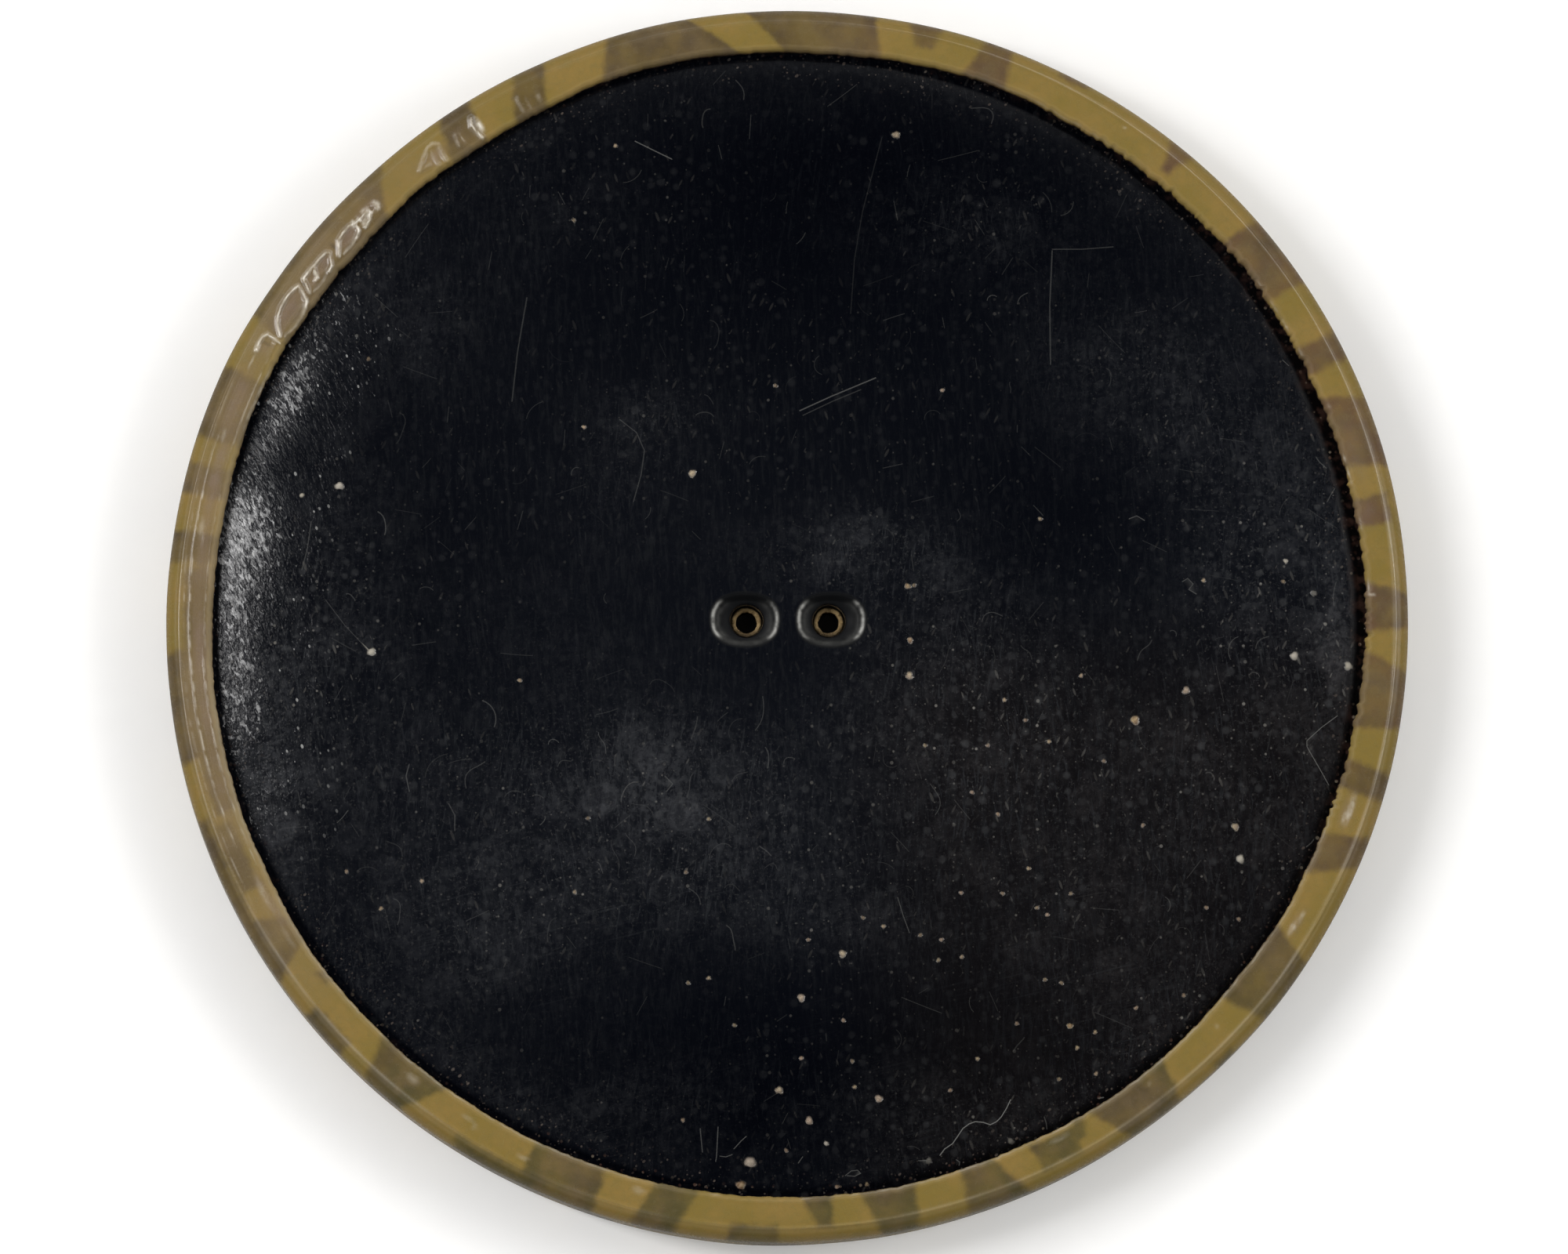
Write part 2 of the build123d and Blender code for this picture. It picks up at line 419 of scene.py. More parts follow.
# where the crinkled left margin is still glossy, and where a painted sheen and painted glint
# strokes are laid on it: x, y, radii, turn in degrees, amount
GLOSS_AND_PAINTED_SHEEN = [
    (-25.1, 12.4, 1.05, 2, -25, 0.78), (-25.9, 10.3, 0.9, 1.6, -20, 0.52),
    (-26.9, 8.7, 0.7, 1.1, -10, 0.36), (-28.1, 4.7, 1.45, 3, 4, 0.97),
    (-26.6, 5.4, 1.3, 2.3, 8, 0.28), (-28.3, -0.4, 1.1, 3.4, 0, 0.62),
    (-27.9, -4.8, 1.25, 2.8, -6, 0.52), (-26.6, -9.8, 1.1, 2.6, -20, 0.36),
    (-23.2, 16.2, 1.2, 2.4, -38, 0.34), (-26.6, 1.5, 1.2, 2.5, 0, 0.25),
]
# soft dents and swells near the left margin: x, y, height, radius
FACE_SWELLS = [(-27.5, 8.2, -0.055, 1.1), (-27.2, -7.6, -0.03, 1.6), (-24.2, 15.6, 0.03, 1.4),
               (-27.9, 2.0, 0.018, 1.2)]
# places that gather curled fibres: x, y, spread x, spread y, number tried
LINT_PLACES = [
    (-9.5, -8, 3.6, 2.6, 26), (-5, -11.5, 3, 2.6, 12), (5, 4, 3, 1.6, 6), (24, 0, 2.4, 6, 14),
    (8, -8, 6, 4, 10), (0, 26.6, 7, 1.2, 8), (-18, -15, 4, 4, 8), (15, -12, 6, 5, 8),
    (16, 14, 4, 4, 8), (-8, 9, 3, 3, 6), (-20, 6, 3, 8, 8),
]
# the fall of a well against the distance in from its outline, summed from the
# slope: rounded mouth, steep wall, short foot, shallow floor
WELL_D = np.linspace(-0.12, 1.40, 305)
WELL_SLOPE = np.interp(
    WELL_D, [-0.07, 0.14, 0.25, 0.40, 0.60, 1.30], [0.0, 1.15, 1.15, 0.16, 0.10, 0.0]
)
WELL_FALL = np.concatenate(
    [[0.0], np.cumsum(0.5 * (WELL_SLOPE[1:] + WELL_SLOPE[:-1]) * np.diff(WELL_D))]
)


def dome(r):
    """Height of the plain dome: flat middle, round cap, steeper margin, shoulder."""
    run = BREAK_R - FLAT_R
    big = (run ** 2 + BREAK_DROP ** 2) / (2 * BREAK_DROP)
    cap = TOP_Z - big + np.sqrt(maximum(big * big - (maximum(r, FLAT_R) - FLAT_R) ** 2, 0))
    z = where(r < FLAT_R, TOP_Z, cap)
    slope = run / (big - BREAK_DROP)
    margin = SHOULDER_R - BREAK_R
    fall = TOP_Z - BREAK_DROP - LIP_UNDER_Z
    bend = 2.0 * (fall - slope * margin) / margin ** 2
    t = clip(r - BREAK_R, 0, margin)
    z = where(r > BREAK_R, TOP_Z - BREAK_DROP - (slope * t + 0.5 * bend * t * t), z)
    return where(r > SHOULDER_R, LIP_UNDER_Z, z)


def well_distance(x, y, side):
    """Signed distance from the well's outline, positive inside."""
    u = np.abs((x - side * WELL_X) / WELL_A)
    v = np.abs(y / WELL_B)
    rho = (u ** WELL_POWER + v ** WELL_POWER) ** (1 / WELL_POWER)
    local = where(rho > 1e-6, hypot(x - side * WELL_X, y) / maximum(rho, 1e-6), WELL_B)
    return (1 - rho) * local


def speck_radius(index, angle, base):
    """Radius of a speck's uneven outline at each angle."""
    rng = np.random.default_rng(500 + index)
    phase = rng.uniform(0, TAU, 3)
    amp = rng.uniform(0.04, 0.16, 3)
    stretch = rng.uniform(0.92, 1.10)
    a = angle - rng.uniform(0, TAU)
    r = base * (
        1 + amp[0] * cos(2 * a + phase[0]) + amp[1] * cos(3 * a + phase[1])
        + 0.6 * amp[2] * cos(5 * a + phase[2])
    )
    return r * np.sqrt((stretch * cos(a)) ** 2 + (sin(a) / stretch) ** 2)


def each_speck(x, y, allowed):
    """Yields for every speck its number, kind, the mask of points close by, their
    offsets, and their distance as a share of the outline's radius."""
    for index, (sx, sy, kind) in enumerate(SPECKS):
        near = allowed & (np.abs(x - sx) < 0.8) & (np.abs(y - sy) < 0.8)
        dx, dy = x[near] - sx, y[near] - sy
        outline = speck_radius(index, np.arctan2(dy, dx), SPECK_KIND[kind][0])
        yield index, kind, near, dx, dy, hypot(dx, dy) / outline


def face_z(x, y):
    r = hypot(x, y)
    # a hand-finished surface is never perfectly even
    uneven = 0.010 * noise(50 + x / 9.0, 50 + y / 9.0, 3, 2)
    z = dome(r) + uneven * (1 - smooth(28.4, 29.2, r))
    for cx, cy, height, width in FACE_SWELLS:
        z = z + height * blob(x, y, cx, cy, width, width)
    for side in (-1, 1):
        d = well_distance(x, y, side)
        z = z - np.interp(d, WELL_D, WELL_FALL)
        # the floor dips on towards the hole
        from_hole = hypot(x - side * HOLE_X, y)
        z = z - 0.10 * (1 - smooth(0.85, 1.35, from_hole)) * smooth(0.0, 0.3, d)
    for _, kind, near, _, _, share in each_speck(x, y, r < SHOULDER_R):
        z[near] -= SPECK_KIND[kind][1] * (1 - smooth(0.55, 1.05, share))
        # a low burr round the pit
        z[near] += 0.012 * exp(-((share - 1.2) / 0.14) ** 2)
    return z


def face_normal(x, y):
    e = 0.012
    zx = (face_z(x + e, y) - face_z(x - e, y)) / (2 * e)
    zy = (face_z(x, y + e) - face_z(x, y - e)) / (2 * e)
    n = np.stack([-zx, -zy, np.ones_like(zx)], 1)
    return n / np.linalg.norm(n, axis=1, keepdims=True)


def touches(points, taken, gap):
    """Whether a new line comes nearer than the gap to any earlier one."""
    return any(
        np.min(line_distance(points[:, 0], points[:, 1], line)) < gap
        for line in taken
        if abs(line[0] - points[0]).max() < 8
    )


def random_hairs():
    rng = np.random.default_rng(77)
    out = []
    taken = [np.array(line, float) for _, _, line in LINES]
    for _ in range(330):
        r = 28.2 * math.sqrt(rng.uniform(0.02, 1))
        a = rng.uniform(0, TAU)
        x, y = r * math.cos(a), r * math.sin(a)
        if abs(x) < 4.6 and abs(y) < 2.2:
            continue
        style = rng.uniform()
        if style < 0.45:          # short straight nicks, mostly steep
            ang = math.radians(rng.normal(80, 28))
            length = rng.uniform(0.3, 1.3)
            bend = 0.0
        elif style < 0.8:         # long shallow rub marks
            ang = math.radians(rng.normal(-15, 40))
            length = rng.uniform(0.5, 2.2)
            bend = rng.uniform(-0.05, 0.05)
        else:                     # curled dust fibres
            ang = rng.uniform(0, TAU)
            length = rng.uniform(0.5, 1.3)
            bend = rng.uniform(-1.4, 1.4)
        steps = 3 if abs(bend) < 0.2 else 6
        line = []
        for _ in range(steps + 1):
            if math.hypot(x, y) < 28.7:
                line.append((round(x, 3), round(y, 3)))
            x += length / steps * math.cos(ang)
            y += length / steps * math.sin(ang)
            ang += bend / steps * 2
        strength, width = rng.uniform(0.012, 0.075), rng.uniform(0.022, 0.034)
        if len(line) < 2 or touches(np.array(line), taken, 0.45):
            continue
        taken.append(np.array(line))
        out.append((strength, width, line))
    return out


def lint_curls(others):
    """Short curled fibres that stick where the surface is smeared."""
    rng = np.random.default_rng(2024)
    steps = 8
    out = []
    taken = [np.array(line, float) for _, _, line in others]
    for cx, cy, wx, wy, count in LINT_PLACES:
        for _ in range(count):
            x, y = rng.normal(cx, wx), rng.normal(cy, wy)
            ang = math.radians(rng.normal(88, 24))
            length = rng.uniform(0.5, 1.9)
            bend = rng.uniform(-2.6, 2.6)
            twist = rng.uniform(-1, 1) * 2.5
            strength, width = rng.uniform(0.035, 0.13), rng.uniform(0.028, 0.045)
            line = [(round(x, 3), round(y, 3))]
            for k in range(steps):
                x += length / steps * math.cos(ang)
                y += length / steps * math.sin(ang)
                ang += (bend + twist * math.sin(k / steps * TAU)) / steps
                line.append((round(x, 3), round(y, 3)))
            q = np.array(line)
            if hypot(q[:, 0], q[:, 1]).max() > 28.6:
                continue
            if np.abs(q[:, 0]).min() < 4.6 and np.abs(q[:, 1]).min() < 2.4:
                continue
            if touches(q, taken, 0.35):
                continue
            if any(np.min(hypot(q[:, 0] - sx, q[:, 1] - sy)) < 0.6 for sx, sy, _ in SPECKS):
                continue
            taken.append(q)
            out.append((strength, width, line))
    return out


def plan_line(plan, half_width, line):
    """Adds a line's centre row, then a narrow outline round it."""
    points = np.array(line, float)
    row = []
    for start, end in zip(points[:-1], points[1:]):
        n = max(1, int(hypot(*(end - start)) / 0.45))
        for k in range(n):
            row.append(start + (end - start) * k / n)
    row.append(points[-1])
    row = np.array(row)
    along = np.gradient(row, axis=0)
    along /= np.linalg.norm(along, axis=1, keepdims=True) + 1e-9
    offset = np.stack([-along[:, 1], along[:, 0]], 1) * half_width
    cap0, cap1 = row[0] - along[0] * half_width, row[-1] + along[-1] * half_width
    plan.add(row, line=True)
    outline = [[cap0], row + offset, [cap1], (row - offset)[::-1], [cap0 + 1e-4]]
    plan.add(np.concatenate(outline), line=True)


def face_plan(lines, rim_angles, hole_angles):
    """The top of the face: returns the plan, the rim and the two hole mouths."""
    plan = Plan()
    rim = plan.add(circle(DISC_R, rim_angles), loop=True)
    for radius in (SHOULDER_R + 0.02, SHOULDER_R - 0.05, 29.0, 28.7):
        plan.add(circle(radius, rim_angles + 0.003 * radius))
    mouths = []
    for side in (-1, 1):
        mouths.append(plan.add(circle(MOUTH_R, hole_angles, side * HOLE_X), loop=True))
        for radius in (0.95, 1.0, 1.06):
            plan.add(circle(radius, hole_angles + radius, side * HOLE_X))
    # wells: rings that follow the oval outline, outside and inside of it
    insets = [np.arange(-0.36, -0.10, 0.05), np.arange(-0.09, 0.44, 0.032), [0.5, 0.6]]
    for side in (-1, 1):
        for inset in np.concatenate(insets):
            c, s = cos(around(140) + inset), sin(around(140) + inset)
            k = (np.abs(c) ** WELL_POWER + np.abs(s) ** WELL_POWER) ** (-1 / WELL_POWER)
            x = side * WELL_X + (WELL_A - inset) * k * c
            y = (WELL_B - inset) * k * s
            ok = (np.abs(x) > 0.02) & (np.sign(x) == side)
            ok &= hypot(x - side * HOLE_X, y) > 1.08
            plan.add(np.stack([x[ok], y[ok]], 1))
    for index, (sx, sy, kind) in enumerate(SPECKS):
        base = SPECK_KIND[kind][0]
        angles = around(16 if base > 0.15 else 12)
        rings = [np.array([[sx, sy]])]
        for share in (0.5, 0.8, 1.0, 1.2, 1.55):
            rings.append([sx, sy] + circle(speck_radius(index, angles, base) * share, angles))
        rings = np.concatenate(rings)
        plan.add(rings[hypot(rings[:, 0], rings[:, 1]) < SHOULDER_R - 0.08])
    for _, width, line in lines:
        plan_line(plan, width, line)
    # the open field, clear of everything above
    grid = hex_grid(28.5, 0.62, 0.08, 11)
    x, y = grid[:, 0], grid[:, 1]
    ok = np.ones(len(grid), bool)
    for side in (-1, 1):
        ok &= well_distance(x, y, side) < -0.5
    for sx, sy, kind in SPECKS:
        ok &= hypot(x - sx, y - sy) > SPECK_KIND[kind][0] * 1.75 + 0.1
    for _, width, line in lines:
        near = in_box(x, y, line, 0.3) & ok
        ok[near] &= line_distance(x[near], y[near], line) > width + 0.09
    plan.add(grid[ok])
    return plan, rim, mouths


def well_painted_highlight(x, y, side):
    """A painted highlight on each well's mouth, standing in for its rounded edge catching the
    light.
    """
    d = well_distance(x, y, side)
    ex = x - side * WELL_X
    sideways = np.abs(ex) / WELL_A / (hypot(ex / WELL_A, y / WELL_B) + 1e-6)
    # fainter where the two wells face each other, above on the left and below on the right
    lift_off = (
        1 - 0.45 * smooth(0.15, 0.9, y) * (ex > 0) * (side < 0)
        - 0.35 * smooth(-0.1, -0.8, y) * (ex < 0) * (side > 0)
    )
    rag = 0.66 + 0.75 * noise(40 + x / 0.24, 40 + y / 0.24, 91, 2)
    # painted highlight, bright at the two ends of the mouth, fainter along its -Y side and on the
    # wall
    painted_arcs = 1.15 * lift_off * smooth(0.62, 0.88, sideways) * exp(-((d - 0.085) / 0.080) ** 2)
    painted_arcs = painted_arcs * clip(rag + 0.14, 0.22, 1.0)
    painted_arcs += 0.085 * smooth(0.1, -0.9, y) * exp(-((d - 0.16) / 0.15) ** 2) * (0.6 + 0.7 * rag)
    painted_arcs += 0.055 * smooth(0.4, 0.9, sideways) * exp(-((d - 0.34) / 0.16) ** 2) * (0.5 + rag)
    return painted_arcs


def face_attributes(x, y, on_top, lines):
    r = hypot(x, y)
    theta = np.arctan2(y, x)
    right = clip(cos(theta), 0, 1)
    speck, warm, marks_and_painted_well_highlights, well, haze, gloss_and_painted_sheen = np.zeros((6, len(x)))
    # the filling of each pit, with a painted highlight towards its upper left and painted shade
    # away from it
    for index, kind, near, dx, dy, share in each_speck(x, y, on_top):
        base, _, warmth = SPECK_KIND[kind]
        lit = hypot(dx + 0.22 * base, dy - 0.22 * base) / base
        fill = (1 - smooth(0.70, 1.08, share)) * (1 - 0.62 * smooth(0.35, 1.15, lit))
        rng = np.random.default_rng(900 + index)
        if kind == "n":
            bright = rng.uniform(0.38, 0.85)
        else:
            bright = 0.22 if kind == "d" else rng.uniform(0.75, 1.0)
        speck[near] = maximum(speck[near], fill * bright)
        warm[near] = maximum(warm[near], where(share < 1.6, warmth, 0))
    for strength, width, line in lines:
        near = on_top & in_box(x, y, line, 0.2)
        d = line_distance(x[near], y[near], line)
        marks_and_painted_well_highlights[near] = maximum(marks_and_painted_well_highlights[near], strength * clip(1 - d / (width * 0.98), 0, 1))
    for cx, cy, wx, wy, amount in HAZE:
        haze += amount * blob(x, y, cx, cy, wx, wy)
    # a hazy band just inside the lip, thinnest towards +Y
    fade_r = 28.65 + 0.30 * (1 - right)
    band = smooth(25.6, 28.6, r) * (1 - 0.9 * smooth(fade_r, 29.20, r))
    band = band * (1 - 0.55 * clip(sin(theta), 0, 1) ** 2)
    haze += band * (0.16 + 0.18 * clip(ring_noise(theta, 28.0, 7.0, 21), -0.3, 1))
    for side in (-1, 1):
        inside = smooth(-0.17, -0.05, well_distance(x, y, side)) * on_top
        well = maximum(well, inside)
        haze = haze * (1 - inside)
        # painted highlights on the well mouths are added to the scratch marks
        marks_and_painted_well_highlights = maximum(marks_and_painted_well_highlights, where(on_top, well_painted_highlight(x, y, side), 0))
    edge_r = 28.60 + 0.30 * (1 - right)
    haze = haze * (
        1 - 0.85 * smooth(edge_r + 0.25 * ring_noise(theta, 28, 0.8, 23), 29.22, r)
    )
    haze = clip(haze, 0, 1.3) * (1 - 0.45 * blob(x, y, 2, 26, 16, 4.5))
    # how grey the bare plastic is: blackest in these places, and darkened at the lip as painted
    # shade of the crevice
    tone = 1.0 - blob(x, y, 4, 22, 19, 10.0) - blob(x, y, -1, -24, 12, 7.0)
    tone -= 0.55 * blob(x, y, 13, 5, 7, 6) + 0.75 * smooth(edge_r, 29.22, r)
    tone -= 0.35 * blob(x, y, -20, 3, 6, 9)
    # the crinkled left margin, and where it still shines and carries a painted sheen
    deg = np.degrees(theta) % 360
    rub = exp(-(((deg - 174) / 34) ** 4)) * smooth(21.5, 26.0, r)
    for cx, cy, wx, wy, turn, amount in GLOSS_AND_PAINTED_SHEEN:
        c, s = math.cos(math.radians(turn)), math.sin(math.radians(turn))
        dx, dy = x - cx, y - cy
        gloss_and_painted_sheen += amount * exp(-(hypot((c * dx + s * dy) / wx, (-s * dx + c * dy) / wy) ** 2.6))
    # dried glue and grime in the crevice together with painted shade there, widest on the right
    inner = 29.33 - 0.66 * clip(cos(theta - math.radians(8)), 0, 1) ** 4
    depth = r - inner + 0.16 * ring_noise(theta, 28, 0.7, 5)
    depth = depth + 0.10 * ring_noise(theta, 28, 0.25, 6)
    grime_and_crevice_shade = smooth(0, 1, depth / (0.34 + 0.30 * right ** 2))
    return {
        "speck": speck,
        "warm": warm,
        "marks_and_painted_well_highlights": marks_and_painted_well_highlights,
        "haze": haze,
        "rub": rub * on_top,
        "grime_and_crevice_shade": where(on_top, grime_and_crevice_shade, 0),
        "well": well,
        "base": clip(tone, 0, 1),
        "gloss_and_painted_sheen": clip(gloss_and_painted_sheen, 0, 1.15),
    }


def build_face(material):
    b = Build()
    lines = LINES + random_hairs()
    lines = lines + lint_curls(lines)
    rim_angles, hole_angles = around(480), around(72)
    plan, rim, mouths = face_plan(lines, rim_angles, hole_angles)
    xy, top, index_of = plan.triangulate(bore=MOUTH_R)
    x, y = xy[:, 0], xy[:, 1]
    z = face_z(x, y)
    b.add(lift(xy, z))
    rim = index_of[rim]
    # hole walls, from the mouth down to the joint with the core: radius, drop
    walls = []
    for side, mouth in zip((-1, 1), mouths):
        mouth = index_of[mouth]
        wobble = 1 + 0.012 * cos(3 * hole_angles + side)
        rings = [mouth]
        for radius, drop in ((0.875, 0.055), (0.845, 0.13), (0.825, 0.30), (0.81, 0.75)):
            ring = circle(radius * wobble, hole_angles, side * HOLE_X)
            rings.append(b.add(lift(ring, z[mouth] - drop)))
        ring = circle(HOLE_R, hole_angles, side * HOLE_X)
        rings.append(b.add(lift(ring, FACE_BOTTOM_Z)))
        walls.append(rings)
    # underside, sharing the walls' last rings
    under = Plan()
    low_rim = under.add(circle(DISC_R, rim_angles), loop=True)
    bores = [
        under.add(circle(HOLE_R, hole_angles, side * HOLE_X), loop=True) for side in (-1, 1)
    ]
    under.add(open_grid(29.5, 3.0, 2, 4.5, 2.5))
    under_xy, under_tri, under_index = under.triangulate(bore=HOLE_R)
    ids = b.add_flat(
        under_xy, FACE_BOTTOM_Z, under_index[np.concatenate(bores)],
        np.concatenate([rings[-1] for rings in walls]),
    )
    points = b.points()
    normals = np.zeros((len(points), 3))
    normals[: len(xy)] = face_normal(x, y)
    b.add_faces(top, normals)
    for rings in walls:
        b.add_faces(bands(rings))
    b.add_faces(ids[under_tri][:, ::-1], (0.0, 0.0, -1.0))
    b.add_faces(bands([ids[under_index[low_rim]], rim]))
    on_top = np.arange(len(points)) < len(xy)
    attributes = face_attributes(points[:, 0], points[:, 1], on_top, lines)
    return b.make("black_face_disc", attributes, material)


# ================================================================ mottled shell
# brown patches: start and end in degrees at the lip's edge (u = 0), the same at
# the outline (u = 1), the span of u, and the strength
PATCHES = [
    (50.6, 50.5, 49.5, 52, 0.35, 2.2, 1), (34.4, 41.8, 34.1, 41.2, -1, 2.2, 1),
    (25.9, 28.8, 25.9, 28.8, -1, 1.8, 1), (16.2, 23.5, 15.3, 22, -1, 2.4, 1),
    (10, 12.8, 10, 12.8, -1, 0.85, 1), (-0.6, 4.7, 0, 3.2, -1, 1.9, 1),
    (349.8, 357.7, 350.5, 356, -1, 2, 1), (343.7, 346.8, 343.6, 346.2, -1, 1.6, 1),
    (334.5, 339, 337, 340, -1, 2.4, 1), (319.5, 328.5, 320.5, 327, -1, 2, 1),
    (314.3, 316.3, 314.3, 316.3, 0.85, 1.6, 1), (301.6, 310.8, 304, 309.6, -1, 1.9, 1),
    (299.6, 301.2, 298, 299, -1, 0.45, 0.9), (294.8, 299.8, 295.4, 299.2, 0.05, 0.7, 1),
    (287.5, 291, 287.3, 293.5, -1, 1.8, 1), (277.3, 283, 279, 282.5, -1, 2.2, 1),
    (271.5, 274.7, 273.6, 274.6, -1, 0.75, 1), (265, 269, 264.6, 269.4, 0.65, 1.7, 1),
    (257, 261.5, 255.5, 259.7, -1, 1.8, 1), (244.5, 252, 244.5, 252, -1, 2.3, 1),
    (237.5, 246, 237.5, 246, 0.8, 2, 0.6), (225.8, 234.5, 227.5, 232, -1, 2, 1),
    (219.5, 224.3, 219.5, 224.3, 0.7, 1.7, 0.9), (217, 218.5, 217, 218.5, -1, 0.3, 0.8),
    (211, 213.5, 209, 215.5, -1, 1.8, 1), (199, 215.5, 199, 215.5, 0.75, 1.25, 0.7),
    (200, 206.8, 200, 206.8, 0.3, 0.75, 1), (192, 199, 192, 199, -1, 0.6, 0.9),
    (183, 193.5, 183, 193.5, -1, 2, 1), (174.8, 184, 175, 183, -1, 0.6, 1),
    (171.5, 174.5, 171.5, 174.5, -1, 1.7, 1), (165, 168, 165, 168, -1, 1.6, 1),
    (155.5, 162.5, 155.5, 162.5, -1, 2.1, 1), (134.5, 151, 131, 150, -1, 1.9, 0.85),
    (122, 126, 121.5, 124.5, -1, 2, 1), (115, 118.5, 113.3, 116.5, -1, 1.7, 1),
    (95, 109, 100, 107, -1, 1.9, 1), (81, 90.5, 82, 94.5, -1, 2.2, 1),
    (76.9, 77.1, 75.5, 79, 0.45, 1.9, 1), (68, 72.8, 69, 71.5, -1, 1.7, 1),
    (61, 64, 61, 64, 0.9, 1.5, 0.5),
]
# folds of the lip: height, width, and a ridge line of (degrees, radius)
FOLDS = [
    (0.071, 0.101, [(152.87, 30.52), (152.19, 30.6), (151.49, 30.57), (151.05, 30.4),
                    (151.15, 30.02), (151.21, 29.65)]),
    (0.085, 0.101, [(150.66, 29.79), (149.76, 30.21), (149.01, 30.44), (148.11, 30.55),
                    (146.99, 30.58), (146.14, 30.51), (145.49, 30.4)]),
    (0.081, 0.095, [(145.49, 30.4), (145.8, 30.01), (146.24, 29.61), (146.88, 29.45)]),
    (0.085, 0.101, [(145.41, 29.71), (144.81, 30.25), (144.55, 30.41), (143.92, 30.4),
                    (143.03, 30.37), (142.27, 30.36), (141.32, 30.3)]),
    (0.090, 0.108, [(141.32, 30.3), (141.07, 30.14), (141.55, 29.87), (141.96, 29.64),
                    (142.61, 29.57)]),
    (0.076, 0.095, [(143.03, 30.37), (143.44, 30.14), (143.74, 29.83), (144.07, 29.84)]),
    (0.085, 0.108, [(140.71, 29.66), (139.99, 30.02), (139.53, 30.22), (138.76, 30.3),
                    (137.93, 30.28), (137.19, 30.15), (136.39, 30.12), (135.59, 30.18)]),
    (0.071, 0.088, [(137.19, 30.15), (137.56, 29.76), (138.22, 29.59)]),
    (0.081, 0.101, [(135.59, 30.18), (135.46, 30.03), (136.03, 29.74), (136.87, 29.64)]),
    (0.057, 0.095, [(134.49, 30.25), (134.83, 29.78)]),
    (0.057, 0.115, [(129.08, 29.9), (128.19, 30.19), (127.15, 30.53), (126.54, 30.57)]),
    (0.067, 0.115, [(126.54, 30.57), (126.17, 30.38), (126.29, 29.9), (126.34, 29.4)]),
    (0.043, 0.095, [(127.06, 30.39), (127.25, 29.69), (127.13, 29.47)]),
    (0.038, 0.095, [(129.08, 29.9), (127.91, 29.78)]),
    (0.104, 0.149, [(122.05, 30.58), (122.39, 30.2), (122.25, 29.72), (122.11, 29.39)]),
    (0.038, 0.108, [(117.23, 30.32), (117.24, 29.9), (117.17, 29.57)]),
    (0.028, 0.108, [(124.26, 30.29), (124.5, 29.7)]),
    (0.036, 0.090, [(146.88, 29.45), (148.1, 29.34), (149.4, 29.40), (150.4, 29.6)]),
    (0.026, 0.090, [(142.61, 29.57), (143.6, 29.50), (144.6, 29.52), (145.2, 29.62)]),
    (0.030, 0.090, [(138.22, 29.59), (139.2, 29.50), (140.3, 29.56)]),
]
FOLD_DEG, FOLD_R = 137.0, 30.2   # folds are measured along the lip from here
# sunk cells between the folds: degrees, radius, half length, half width, depth
CELLS = [(147.9, 30.05, 1.15, 0.36, 0.055), (142.2, 30.02, 0.55, 0.26, 0.050),
         (144.3, 29.98, 0.32, 0.26, 0.035), (138.7, 29.98, 0.65, 0.26, 0.050),
         (152.0, 30.2, 0.5, 0.28, 0.03), (127.1, 30.0, 0.55, 0.36, 0.03)]
# drawn lines along the left of the lip, where the sheet was stretched, raised a little and painted
# with broken highlights: start and end degrees, fade in degrees, radius at start and end, width,
# amount
DRAWN_LINES = [(161.5, 203, 2, 30.58, 30.47, 0.064, 1), (183, 205, 2, 29.88, 29.86, 0.05, 0.8),
               (150, 166, 3, 29.80, 29.72, 0.05, 0.7), (166, 184, 3, 29.68, 29.76, 0.05, 0.5),
               (154, 181, 4, 30.92, 30.84, 0.05, 0.55), (184, 212, 4, 30.90, 30.94, 0.055, 0.5)]
# scattered dents and swells of the lip: degrees, radius, height, width, length
LIP_DENTS = [(209, 30.05, -0.05, 0.16, 0.8), (342.5, 30.25, 0.05, 0.12, 0.35),
             (329, 30.25, 0.055, 0.13, 0.55), (12, 30.1, -0.03, 0.2, 0.6),
             (66, 30.2, -0.03, 0.25, 0.9), (258, 30.2, -0.03, 0.2, 0.9),
             (302, 30.1, 0.03, 0.14, 0.5), (172, 30.1, 0.03, 0.13, 0.7),
             (98, 30.3, -0.025, 0.22, 0.8)]
# nicks in the cut edge: degrees, half width in degrees, depth
NICKS = [(141.9, 0.5, 0.16), (137.3, 0.35, 0.12), (146.9, 0.4, 0.10), (358.8, 0.3, 0.10),
         (335.6, 0.4, 0.12), (187, 0.3, 0.06), (48.5, 0.4, 0.10), (31, 0.3, 0.08)]
# the ring is not quite round: degrees, and how far the outline stands out
OUT_TABLE = [
    (0, 0.04), (20, 0.12), (40, 0.14), (55, 0.11), (70, 0.05), (85, -0.05), (100, -0.09),
    (115, -0.19), (132, -0.24), (145, -0.17), (156, -0.04), (170, -0.03), (180, 0.02),
    (200, 0.07), (225, 0.11), (250, 0.10), (265, 0.09), (276, 0), (290, -0.07),
    (310, -0.09), (325, 0), (345, 0.03),
]
# the same for the lip's cut edge
EDGE_TABLE = [
    (0, 0.11), (10, 0.14), (30, 0.15), (38, 0.24), (48, 0.13), (60, 0.12), (70, 0.24),
    (78, 0.08), (85, -0.03), (100, 0), (110, -0.05), (116, -0.28), (124, -0.36),
    (130, -0.26), (136, -0.38), (146, -0.33), (152, -0.12), (160, -0.07), (170, -0.16),
    (180, -0.08), (188, 0.03), (205, 0.06), (215, 0.15), (225, 0.13), (245, 0.10),
    (262, 0.03), (280, 0.01), (295, -0.10), (305, -0.04), (322, -0.17), (330, -0.05),
    (336, -0.12), (350, -0.05), (357, 0.07),
]
